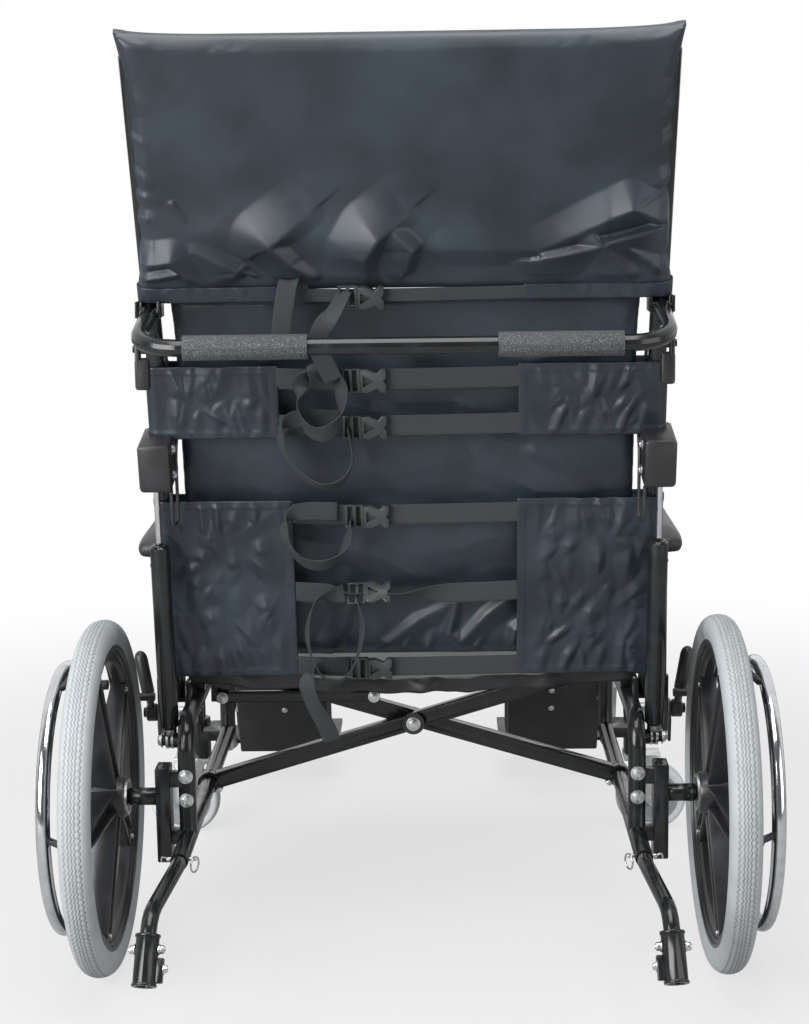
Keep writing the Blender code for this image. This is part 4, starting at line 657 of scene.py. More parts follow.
    @staticmethod
    def tube(name: str, points: Sequence[Point], radius: float) -> Piece:
        """A round tube along a smooth line.

        Args:
            name: The piece's name.
            points: The line's points.
            radius: The tube's radius.

        Returns:
            The piece, as a mesh.
        """
        curve = bpy.data.curves.new(name, "CURVE")
        curve.dimensions = "3D"
        curve.bevel_depth, curve.bevel_resolution, curve.use_fill_caps = radius, 4, True
        line = curve.splines.new("POLY")
        line.points.add(len(points) - 1)
        for spot, point in zip(line.points, points):
            spot.co = (*point, 1.0)
        Bench.take(Bench.added(name, curve))
        bpy.ops.object.convert(target="MESH")
        return Bench.settle(bpy.context.object, name)

    @staticmethod
    def sheet(
        name: str, columns: int, rows: int, flat: tuple[float, float], place: Placing | None = None
    ) -> Piece:
        """A sheet laid out from a grid.

        Args:
            name: The piece's name.
            columns: Faces across.
            rows: Faces along.
            flat: The sheet's flat width and length, which its UV map holds in metres.
            place: Where a point goes, from its shares across and along, each from 0 to 1. Without it, the
                points stay on their grid, to be moved later.

        Returns:
            The piece, without thickness.
        """
        Bench.free()
        bpy.ops.mesh.primitive_grid_add(x_subdivisions=columns, y_subdivisions=rows, size=1)
        obj = bpy.context.object
        shares = [(vert.co.x + 0.5, vert.co.y + 0.5) for vert in obj.data.vertices]
        marks = obj.data.uv_layers.active.data
        for loop in obj.data.loops:
            across, along = shares[loop.vertex_index]
            marks[loop.index].uv = ((across - 0.5) * flat[0], along * flat[1])
        if place:
            for vert, share in zip(obj.data.vertices, shares):
                vert.co = place(*share)
        return Bench.settle(obj, name)

    @staticmethod
    def cushion(name: str, cuts: int, place: Callable[[float, float, float], Vector]) -> Piece:
        """A closed pad shaped from a subdivided cube.

        Args:
            name: The piece's name.
            cuts: How often each edge is cut.
            place: Where a point goes, from its three shares from -1 to 1, the last from back to front.

        Returns:
            The piece.
        """
        Bench.free()
        bpy.ops.mesh.primitive_cube_add(size=2)
        obj = bpy.context.object
        with Bench.editing(obj):
            bpy.ops.mesh.subdivide(number_cuts=cuts)
        for vert in obj.data.vertices:
            vert.co = place(*vert.co)
        Bench.outward(obj)
        return Bench.settle(obj, name)

    @staticmethod
    def inflate(obj: Piece, voxel: float, pressure: float, cap: float) -> None:
        """Lets a pad swell as stuffed cloth does, and subdivides it once.

        Args:
            obj: The pad, changed in place.
            voxel: The grid size that its skin is remade at.
            pressure: The air pressure inside.
            cap: How far a point may move.
        """
        Bench.modify(obj, "REMESH", mode="VOXEL", voxel_size=voxel, use_smooth_shade=True)
        start = Bench.spots(obj)
        cloth = obj.modifiers.new("cloth", "CLOTH")
        cloth.settings.use_pressure = True
        cloth.settings.uniform_pressure_force = pressure
        cloth.settings.effector_weights.gravity = 0.0
        cloth.settings.quality = 6
        scene = bpy.context.scene
        for step in range(1, Bench.CLOTH_FRAMES + 1):
            scene.frame_set(step)
        Bench.take(obj)
        bpy.ops.object.modifier_apply(modifier=cloth.name)
        scene.frame_set(1)
        moved = Bench.spots(obj) - start
        length = np.linalg.norm(moved, axis=1, keepdims=True)
        moved *= np.minimum(1.0, cap / np.maximum(length, 1e-9))
        Bench.move(obj, start + moved)
        Bench.modify(obj, "SUBSURF", levels=1, render_levels=1)
        bpy.ops.object.shade_smooth()

    @staticmethod
    def thicken(obj: Piece, thickness: float) -> None:
        """Gives a sheet its thickness, half to each side, and shades it smooth."""
        Bench.modify(obj, "SOLIDIFY", thickness=thickness, offset=0.0)
        Bench.outward(obj)
        Bench.take(obj)
        bpy.ops.object.shade_smooth()

    @staticmethod
    def fused(name: str, pieces: Sequence[Piece]) -> Piece:
        """Several pieces of one finish as one object.

        Args:
            name: Its name.
            pieces: The pieces, which are used up.

        Returns:
            The object.
        """
        Bench.free()
        for piece in pieces:
            piece.select_set(True)
        bpy.context.view_layer.objects.active = pieces[0]
        bpy.ops.object.join()
        return Bench.settle(bpy.context.object, name)

    @staticmethod
    def bolt(at: Point, axis: Point, radius: float, height: float, head: Head = Head.HEX) -> Piece:
        """A fastener's head on a washer.

        Args:
            at: The middle of its seat.
            axis: The way that it points.
            radius: The head's radius.
            height: The head's height.
            head: The kind of head.

        Returns:
            The piece.
        """
        at, axis = Vector(at), Vector(axis).normalized()
        washer = Bench.rod("washer", at, at + axis * height * 0.25, radius * 1.3, 24, height * 0.06)
        crown = Bench.rod("head", at, at + axis * height, radius, head.value, height * 0.18)
        boss = Bench.rod("boss", at, at + axis * height * 1.14, radius * 0.62, 20, height * 0.10)
        return Bench.fused("bolt", [washer, crown, boss])


def smooth_line(points: Sequence[Point], steps: int) -> list[Vector]:
    """A smooth line through points.

    Args:
        points: The points.
        steps: Steps from each point to the next.

    Returns:
        The line's points.
    """
    spots = [Vector(p) for p in points]
    ends = [2 * spots[0] - spots[1], *spots, 2 * spots[-1] - spots[-2]]
    line = []
    for a, b, c, d in zip(ends, ends[1:], ends[2:], ends[3:]):
        for k in range(steps):
            t = k / steps
            square, cube = 2 * a - 5 * b + 4 * c - d, 3 * b - a - 3 * c + d
            line.append(0.5 * (2 * b + (c - a) * t + square * t * t + cube * t**3))
    return line + [spots[-1]]


@dataclass(frozen=True)
class Crease:
    """One fold in a panel of cloth: its ridge's points, in metres, and the ridge's height at each."""

    points: tuple[tuple[float, float], ...]
    heights: tuple[float, ...]
    left: float
    right: float

    @classmethod
    def mm(cls, points: Sequence[Point], heights: Sequence[float], left: float, right: float) -> Crease:
        """A fold whose points, heights and widths are given in millimetres."""
        spots = tuple((u / 1000, w / 1000) for u, w in points)
        return cls(spots, tuple(height / 1000 for height in heights), left / 1000, right / 1000)

    def rise(self, u: np.ndarray, w: np.ndarray) -> np.ndarray:
        """How far the cloth stands out, falling away over one width on each side of the ridge.

        Args:
            u: Places across the panel.
            w: Places up the panel.

        Returns:
            The rise at each place.
        """
        nearest, best = np.full(len(u), np.inf), np.zeros(len(u))
        for start, end, first, last in zip(self.points, self.points[1:], self.heights, self.heights[1:]):
            run = np.subtract(end, start)
            length = math.hypot(*run)
            share = ((u - start[0]) * run[0] + (w - start[1]) * run[1]) / length**2
            share = np.clip(share, 0.0, 1.0)
            du, dw = u - start[0] - share * run[0], w - start[1] - share * run[1]
            far = np.hypot(du, dw)
            aside = du * run[1] - dw * run[0]
            slope = np.clip(1.0 - far / np.where(aside > 0, self.right, self.left), 0.0, 1.0)
            height = (first + share * (last - first)) * slope**1.05
            best = np.where(far < nearest, height, best)
            nearest = np.minimum(far, nearest)
        return best


def highest(creases: Iterable[Crease], u: np.ndarray, w: np.ndarray) -> np.ndarray:
    """How far the highest of several folds stands out at each place."""
    return np.max([crease.rise(u, w) for crease in creases], axis=0, initial=0.0)


def puckers(points: np.ndarray, scale: Point, seed: float) -> np.ndarray:
    """Ridged noise, as crumpled cloth shows.

    Args:
        points: The places.
        scale: How many ridges there are in a metre, each way.
        seed: A shift that makes one piece unlike another.

    Returns:
        Values around 0.
    """
    shift = Vector((seed * 7.13, seed * 3.71, seed * 11.9))
    spots = [Vector(p * s for p, s in zip(point, scale)) + shift for point in points]
    return np.array([noise.ridged_multi_fractal(spot, 1.0, 2.1, 3, 0.9, 1.6) for spot in spots]) - 0.9


@dataclass(frozen=True)
class BackLine:
    """The line of the back canes, which the back's pieces are set out from."""

    pivot_y: float = AXLE_Y + 0.100
    pivot_z: float = 0.388
    lean: float = math.radians(12)
    head_lean: float = math.radians(22)
    bend: float = 0.539
    cane_x: float = 0.345
    cane_radius: float = 0.0127
    cane_top: float = 0.086

    def low(self, x: float, s: float, v: float = 0.0) -> Vector:
        """A point s up the lower canes and v forward of them."""
        y = self.pivot_y - s * math.sin(self.lean) + v * math.cos(self.lean)
        return Vector((x, y, self.pivot_z + s * math.cos(self.lean) + v * math.sin(self.lean)))

    def high(self, x: float, t: float, v: float = 0.0) -> Vector:
        """A point t up the canes from their bend and v forward of them."""
        start = self.low(x, self.bend)
        y = start.y - t * math.sin(self.head_lean) + v * math.cos(self.head_lean)
        return Vector((x, y, start.z + t * math.cos(self.head_lean) + v * math.sin(self.head_lean)))

    def along(self, x: float, s: float, v: float = 0.0) -> Vector:
        """A point s up the canes, round their bend."""
        return self.low(x, s, v) if s <= self.bend else self.high(x, s - self.bend, v)

    def s_at(self, z: float) -> float:
        """How far up the lower canes a height is."""
        return (z - self.pivot_z) / math.cos(self.lean)


class Assembly:
    """Pieces that are made, dressed and hung on their bodies together."""

    def hang(self, piece: Piece, body: str, finish: Finish, nodes: Iterable[str] = ()) -> Piece:
        """Dresses a piece and hangs it on its body.

        Args:
            piece: The piece.
            body: The body that carries it.
            finish: Its finish.
            nodes: The frame's nodes that it stands for.

        Returns:
            The piece.
        """
        finish.dress(piece)
        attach(piece, body)
        if nodes:
            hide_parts(*nodes)
        LOG.info("%s: %d faces on %s", piece.name, len(piece.data.polygons), body)
        return piece


class Pad(Assembly):
    """A padded piece, which swells from a closed shape."""

    def place(self, a: float, b: float, c: float) -> Vector:
        """Where a share of the pad goes.

        Args:
            a: Share across, from -1 to 1.
            b: Share up or along, from -1 to 1.
            c: Share from the rear or lower face to the front or upper one, from -1 to 1.

        Returns:
            The point.
        """
        raise NotImplementedError


@dataclass
class HeadCover(Pad):
    """Padded head panel, bunched above its hem and drawn to points at its upper corners."""

    line: BackLine
    half_width: float = 0.3590
    height: float = 0.3625
    skirt: float = 0.0175
    edge: float = 0.026
    crown: float = 0.004
    ear: float = 0.007
    rounding: float = 0.007
    bulge: float = 0.015
    fold: float = 1.5
    creases: tuple[Crease, ...] = (
        Crease.mm(((-122, 106), (-174, 66)), (4, 13), 20, 55),
        Crease.mm(((-174, 66), (-151, 37)), (13, 12), 18, 40),
        Crease.mm(((-151, 37), (-121, 14)), (12, 6), 14, 16),
        Crease.mm(((6, 106), (-33, 76), (-51, 47), (-51, 6)), (4, 14, 14, 6), 20, 55),
        Crease.mm(((-14, 88), (13, 61), (4, 26)), (8, 15, 8), 14, 32),
        Crease.mm(((60, 56), (186, 52)), (4, 6), 30, 30),
        Crease.mm(((182, 54), (299, 112)), (6, 19), 34, 50),
        Crease.mm(((299, 112), (352, 84)), (19, 12), 34, 20),
        Crease.mm(((262, 62), (352, 84)), (17, 13), 13, 48),
        Crease.mm(((186, 43), (262, 62)), (12, 18), 13, 50),
        Crease.mm(((262, 62), (298, 10)), (18, 8), 18, 60),
        Crease.mm(((290, 58), (338, 20)), (13, 7), 20, 16),
        Crease.mm(((-360, 30), (-307, 41), (-286, 10)), (9, 12, 6), 30, 14),
        Crease.mm(((-350, 10), (-300, 20)), (7, 7), 12, 10),
        Crease.mm(((-275, 50), (-219, 27), (-234, 6)), (3, 9, 4), 16, 36),
        Crease.mm(((-360, 168), (-318, 140)), (4.5, 0), 10, 14),
        Crease.mm(((-360, 132), (-312, 120)), (5, 0), 10, 14),
        Crease.mm(((-360, 96), (-318, 98)), (5.5, 0), 12, 14),
        Crease.mm(((-360, 212), (-322, 196)), (4, 0), 10, 12),
        Crease.mm(((360, 150), (300, 128)), (6, 0), 16, 18),
        Crease.mm(((360, 205), (310, 172)), (5, 0), 14, 18),
        Crease.mm(((360, 250), (325, 222)), (3.5, 0), 12, 14),
        Crease.mm(((-300, 118), (-286, 98)), (2, 1), 6, 8),
    )

    def place(self, a: float, b: float, c: float) -> Vector:
        """Where a share of the panel goes, crowned and drawn out to its upper corners."""
        swell = (1 - a**4) * (1 - b**4)
        depth = c * (self.edge / 2 + self.crown * swell)
        x = a * (self.half_width - self.rounding * c * c - 0.005 * (1 - b * b))
        rise = b * (self.height / 2 - self.rounding * c * c)
        rise -= max(b, 0.0) * self.ear * (1 - a**6)
        return self.line.high(x, self.line.cane_top - self.skirt + self.height / 2 + rise, depth)

    def build(self) -> None:
        """Builds the padded cover and sculpts its folds."""
        pad = Bench.cushion("head_cover", 40, self.place)
        Bench.inflate(pad, 0.0055, 3.0, 0.007)
        self.sculpt(pad)
        self.hang(pad, "head_extension", NAVY_NYLON, ["head_pad"])

    def sculpt(self, pad: Piece) -> None:
        """Pushes the rear face out and in along its folds.

        Args:
            pad: The pad, changed in place.
        """
        spots = Bench.spots(pad)
        start = np.array(self.line.high(0.0, self.line.cane_top))
        up = np.array((0.0, -math.sin(self.line.head_lean), math.cos(self.line.head_lean)))
        front = np.array((0.0, up[2], -up[1]))
        spots[:, 0] *= self.half_width / np.abs(spots[:, 0]).max()
        rise = (spots - start) @ up
        grown = np.interp(rise, (rise.min(), rise.max()), (-self.skirt, self.height - self.skirt))
        spots += up * (grown - rise)[:, None]
        x, rise, depth = spots[:, 0], grown, (spots - start) @ front
        rear = np.clip((-depth - 0.002) / 0.009, 0.0, 1.0)
        folds = highest(self.creases, x, rise)
        belly = np.clip(1 - np.abs(x + 0.03) / 0.30, 0.0, 1.0) ** 0.5
        out = self.bulge * belly * np.exp(-(((rise - 0.070) / 0.040) ** 2)) + self.fold * folds
        rough = puckers(np.stack([x, rise, depth * 0], axis=1), (9.0, 13.0, 1.0), 1.0)
        out += rough * (0.0022 * np.exp(-rise / 0.06) + 0.0005)
        room = np.clip((rise + 0.006) / 0.020, 0.0, 1.0)
        spots -= front * (np.clip(out, -0.010, 0.042) * rear * room)[:, None]
        Bench.move(pad, spots)


@dataclass
class BackCover(Pad):
    """Padded back panel, stretched in front of the canes."""

    line: BackLine
    half_width: float = 0.321
    bottom: float = 0.040
    top: float = 0.594
    rear: float = 0.0127
    edge: float = 0.010
    crown: float = 0.014
    fold: float = 1.25
    creases: tuple[Crease, ...] = (
        Crease.mm(((-34, 66), (10, 104), (68, 132)), (6, 8, 4), 12, 24),
        Crease.mm(((68, 132), (55, 82), (72, 66)), (6, 9, 5), 14, 12),
        Crease.mm(((72, 66), (110, 112), (165, 156)), (6, 9, 4), 12, 28),
        Crease.mm(((148, 66), (152, 88), (198, 118)), (7, 9, 4), 12, 22),
        Crease.mm(((-10, 60), (4, 88)), (6, 2), 9, 12),
        Crease.mm(((24, 58), (30, 80)), (6, 2), 8, 11),
        Crease.mm(((94, 58), (108, 84)), (6, 2), 9, 12),
        Crease.mm(((-120, 226), (-40, 204), (20, 168)), (2, 6, 2), 30, 60),
        Crease.mm(((30, 206), (120, 234), (200, 226)), (2, 5, 2), 50, 40),
        Crease.mm(((-40, 424), (20, 404), (70, 372)), (2, 6, 3), 16, 50),
        Crease.mm(((80, 430), (130, 396), (186, 388)), (3, 7, 3), 30, 18),
        Crease.mm(((-120, 350), (-20, 330), (70, 352)), (1, 4, 1), 50, 40),
        Crease.mm(((110, 346), (180, 304), (240, 300)), (2, 6, 3), 40, 26),
        Crease.mm(((180, 362), (232, 330)), (5, 2), 18, 24),
        Crease.mm(((-30, 500), (10, 470), (60, 462)), (3, 7, 2), 22, 50),
        Crease.mm(((90, 520), (170, 496), (250, 520)), (2, 7, 6), 50, 30),
        Crease.mm(((-270, 540), (-200, 500), (-150, 506)), (4, 6, 2), 30, 26),
        Crease.mm(((-110, 60), (-85, 130), (-92, 190)), (5, 6, 2), 30, 14),
    )

    def place(self, a: float, b: float, c: float) -> Vector:
        """Where a share of the panel goes, flat behind and crowned in front."""
        swell = (1 - a**4) * (1 - b**4)
        depth = self.rear + (c + 1) / 2 * (self.edge + self.crown * swell)
        x = a * (self.half_width - 0.003 * c * c)
        middle, half = (self.bottom + self.top) / 2, (self.top - self.bottom) / 2
        return self.line.along(x, middle + b * (half - 0.003 * c * c), depth)

    def build(self) -> None:
        """Builds the panel and sculpts its rear face."""
        pad = Bench.cushion("back_cover", 44, self.place)
        Bench.inflate(pad, 0.006, 2.0, 0.004)
        self.sculpt(pad)
        self.hang(pad, "back", NAVY_NYLON, ["back_panel"])

    def sculpt(self, pad: Piece) -> None:
        """Pushes the rear face out along its folds.

        Args:
            pad: The pad, changed in place.
        """
        spots = Bench.spots(pad)
        start = np.array(self.line.low(0.0, 0.0))
        up = np.array((0.0, -math.sin(self.line.lean), math.cos(self.line.lean)))
        front = np.array((0.0, up[2], -up[1]))
        spots[:, 0] *= self.half_width / np.abs(spots[:, 0]).max()
        x, rise = spots[:, 0], (spots - start) @ up
        slope = math.tan(self.line.head_lean - self.line.lean)
        depth = (spots - start) @ front + np.maximum(rise - self.line.bend, 0.0) * slope
        rear = np.clip((self.rear + 0.009 - depth) / 0.006, 0.0, 1.0)
        inside = np.clip((self.half_width - np.abs(x)) / 0.03, 0.0, 1.0)
        rough = puckers(np.stack([x, rise, depth * 0], axis=1), (5.0, 7.0, 1.0), 2.0)
        out = self.fold * highest(self.creases, x, rise) + rough * 0.0026
        spots -= front * (np.clip(out, -0.003, 0.018) * rear * inside)[:, None]
        Bench.move(pad, spots)


@dataclass
class Flap(Assembly):
    """Cloth flap that lies behind a cane, goes round its outer side and comes to the front."""

    line: BackLine
    side: Side
    name: str
    body: str
    width: float
    low: float
    high: float
    upper: bool = False
    gather: float = 0.0085
    swell: float = 0.0030
    reach: float = 0.3123
    ease: float = 0.0020
    thickness: float = 0.0013
    hem: float = 0.011
    grid: float = 0.0024

    @property
    def radius(self) -> float:
        """The radius of the flap's way round its cane."""
        return self.line.cane_radius + self.ease

    @property
    def lengths(self) -> tuple[float, float, float]:
        """The flap's way behind, round and in front of its cane."""
        behind = self.width - self.radius
        return behind, math.pi * self.radius, self.line.cane_x - self.reach

    def wrap(self, run: float, out: float) -> tuple[float, float]:
        """A point on the flap's way round its cane.

        Args:
            run: How far along the way it is, from the inner edge.
            out: How far it stands out from the way.

        Returns:
            Its distance from the chair's middle, and its distance forward of the canes.
        """
        behind, around, _ = self.lengths
        radius = self.radius + out
        if run < behind:
            return self.line.cane_x - behind + run, -radius
        if run < behind + around:
            turn = (run - behind) / self.radius - math.pi / 2
            return self.line.cane_x + radius * math.cos(turn), radius * math.sin(turn)
        return self.line.cane_x - (run - behind - around), radius

    def creases(self) -> list[Crease]:
        """The folds that run in from the flap's hems and lie across it, the same each time.

        Returns:
            The folds, in the flap's own run and rise.
        """
        draw = random.Random(int(self.low * 1000) * 2 + int(self.side is Side.LEFT))
        behind, height = self.lengths[0], self.high - self.low
        folds, gather = [], self.gather * min(1.0, height / 0.08)
        for edge, way in ((self.hem, 1), (height - self.hem, -1)):
            run = draw.uniform(0.014, 0.034)
            while run < behind:
                long = draw.uniform(0.30, 0.62) * min(height, 0.12)
                slant, tall = draw.uniform(-0.6, 0.6) * long, draw.uniform(0.5, 1.0) * gather
                knee, tip = (run + 0.3 * slant, edge + way * 0.45 * long), (run + slant, edge + way * long)
                widths = draw.uniform(0.007, 0.018), draw.uniform(0.007, 0.018)
                folds.append(Crease(((run, edge), knee, tip), (0.7 * tall, tall, 0.0), *widths))
                run += draw.uniform(0.016, 0.036)
        for _ in range(int(height * behind / 0.0016)):
            run, rise = draw.uniform(0.03, behind), draw.uniform(0.1, 0.9) * height
            turn, long = draw.uniform(-1.1, 1.1), draw.uniform(0.02, 0.05)
            step = (long * math.sin(turn), long * math.cos(turn))
            points = ((run - step[0], rise - step[1]), (run, rise), (run + step[0], rise + step[1]))
            tall = draw.uniform(0.4, 0.9) * gather
            widths = draw.uniform(0.008, 0.024), draw.uniform(0.008, 0.024)
            folds.append(Crease(points, (0.0, tall, 0.0), *widths))
        rise = 2 * self.hem
        while rise < height - 2 * self.hem:
            points = ((0.002, rise), (draw.uniform(0.014, 0.026), rise + draw.uniform(-0.006, 0.006)))
            folds.append(Crease(points, (0.0018, 0.0), 0.005, 0.005))
            rise += draw.uniform(0.009, 0.016)
        return folds

    def relief(self, run: np.ndarray, rise: np.ndarray) -> np.ndarray:
        """How far the cloth stands out, from its folds and its doubled edges.

        Args:
            run: How far each point is from the inner edge.
            rise: How far each is above the lower hem.

        Returns:
            The distances.
        """
        behind, height = self.lengths[0], self.high - self.low
        out = highest(self.creases(), run, rise)
        near = np.minimum(run, np.minimum(rise, height - rise))
        taut = np.clip((behind + 0.008 - run) / 0.03, 0.0, 1.0) * np.clip(run / 0.045, 0.35, 1.0)
        spots = np.stack([run * self.side.value, rise, run * 0 + self.low * 9], axis=1)
        slack = 0.0009 * puckers(spots, (34.0, 13.0, 1.0), 3.0)
        slack += self.swell * min(1.0, height / 0.08) * puckers(spots, (13.0, 8.0, 1.0), 5.0)
        return np.maximum((out + slack) * taut, -0.0010) + np.where(near < self.hem, 0.0009, 0.0)

    def build(self) -> Piece:
        """Builds the flap.

        Returns:
            The piece.
        """
        total, height = sum(self.lengths), self.high - self.low
        point = self.line.high if self.upper else self.line.low
        rows = max(10, int(height / self.grid))
        flap = Bench.sheet(self.name, int(total / self.grid), rows, (total, height))
        run, rise = self.mark_hems(flap, total, height)
        spots = [
            point(self.side.value * x, self.low + up, v)
            for (x, v), up in zip(map(self.wrap, run, self.relief(run, rise)), rise)
        ]
        Bench.move(flap, np.array(spots))
        Bench.thicken(flap, self.thickness)
        self.hang(flap, self.body, NAVY_NYLON)
        return flap

    def mark_hems(self, flap: Piece, total: float, height: float) -> tuple[np.ndarray, np.ndarray]:
        """Marks how far each point is from the nearest hem, and its place along that hem.

        Args:
            flap: The flap, before it has its thickness.
            total: Its length round the cane.
            height: Its height.

        Returns:
            Each point's run from the inner edge and rise above the lower hem.
        """
        shares = np.zeros((len(flap.data.vertices), 2))
        for loop, mark in zip(flap.data.loops, flap.data.uv_layers.active.data):
            shares[loop.vertex_index] = mark.uv
        run, rise = shares[:, 0] + total / 2, shares[:, 1]
        edges = np.stack([run, rise, height - rise])
        Bench.mark(flap, "hem", edges.min(axis=0))
        Bench.mark(flap, "along", np.where(edges.argmin(axis=0) == 0, rise, run))
        return run, rise


@dataclass
class Ribbon(Assembly):
    """A length of webbing along a line, which may turn about it."""

    name: str
    body: str
    points: Sequence[Point]
    across: Sequence[Point]
    width: float
    held: str = "stretched"
    thickness: float = 0.0015
    steps: int = 6

    def build(self) -> Piece:
        """Builds the webbing.

        Returns:
            The piece.
        """
        line = smooth_line(self.points, self.steps)
        turns = smooth_line(self.across, self.steps)
        length = sum((b - a).length for a, b in zip(line, line[1:]))
        last = len(line) - 1

        def place(share: float, along: float) -> Vector:
            """A point of the strip, from its shares across and along."""
            spot = round(along * last)
            way = (line[min(spot + 1, last)] - line[max(spot - 1, 0)]).normalized()
            aside = turns[spot] - way * turns[spot].dot(way)
            return line[spot] + aside.normalized() * (share - 0.5) * self.width

        strip = Bench.sheet(self.name, 6, last, (self.width, length), place)
        Bench.thicken(strip, self.thickness)
        self.hang(Bench.settle(strip, self.name, 0.0005), self.body, STRAP)
        return strip


@dataclass
class Buckle(Assembly):
    """Side-release buckle with its ladder lock, lying on a strap."""

    name: str
    body: str
    spot: Callable[[float, float, float], Vector]
    half_height: float = 0.0170

    def slab(self, corners: Sequence[Point], low: float, high: float, bevel: float) -> Piece:
        """A plate of the buckle.

        Args:
            corners: Its outline, along the strap and up.
            low: The height of its lower face over the strap.
            high: The height of its upper face.
            bevel: The rounding of its edges.

        Returns:
            The plate.
        """
        outline = [self.spot(x, y, low) for x, y in corners]
        depth = self.spot(0, 0, high) - self.spot(0, 0, low)
        return Bench.plate("slab", outline, depth, bevel)

    def build(self) -> None:
        """Builds the buckle."""
        h = self.half_height
        half = [(-0.004, h * 0.92), (0.006, h), (0.019, h * 0.62), (0.024, h), (0.031, h), (0.031, h * 0.25)]
        half += [(0.027, 0.0)]
        outline = half + [(x, -y) for x, y in reversed(half[:-1])]
        socket = self.slab(outline, 0.0005, 0.0095, 0.0016)
        window = self.slab([(-0.001, -0.0085), (0.014, 0.0), (-0.001, 0.0085)], 0.004, 0.02, 0.0)
        Bench.modify(socket, "BOOLEAN", operation="DIFFERENCE", solver="EXACT", object=window)
        bpy.data.objects.remove(window, do_unlink=True)
        bars = [socket]
        for start, end, top in ((-0.031, -0.0265, 0.005), (-0.020, -0.0150, 0.0065), (-0.009, -0.003, 0.007)):
            corners = [(start, -h), (end, -h), (end, h), (start, h)]
            bars.append(self.slab(corners, -0.001, top, 0.0012))
        for face in (-1, 1):
            inner, outer = face * h * 0.84, face * h
            corners = [(-0.031, inner), (-0.003, inner), (-0.003, outer), (-0.031, outer)]
            bars.append(self.slab(corners, -0.001, 0.0055, 0.0010))
        self.hang(Bench.fused(self.name, bars), self.body, BUCKLE_PLASTIC)


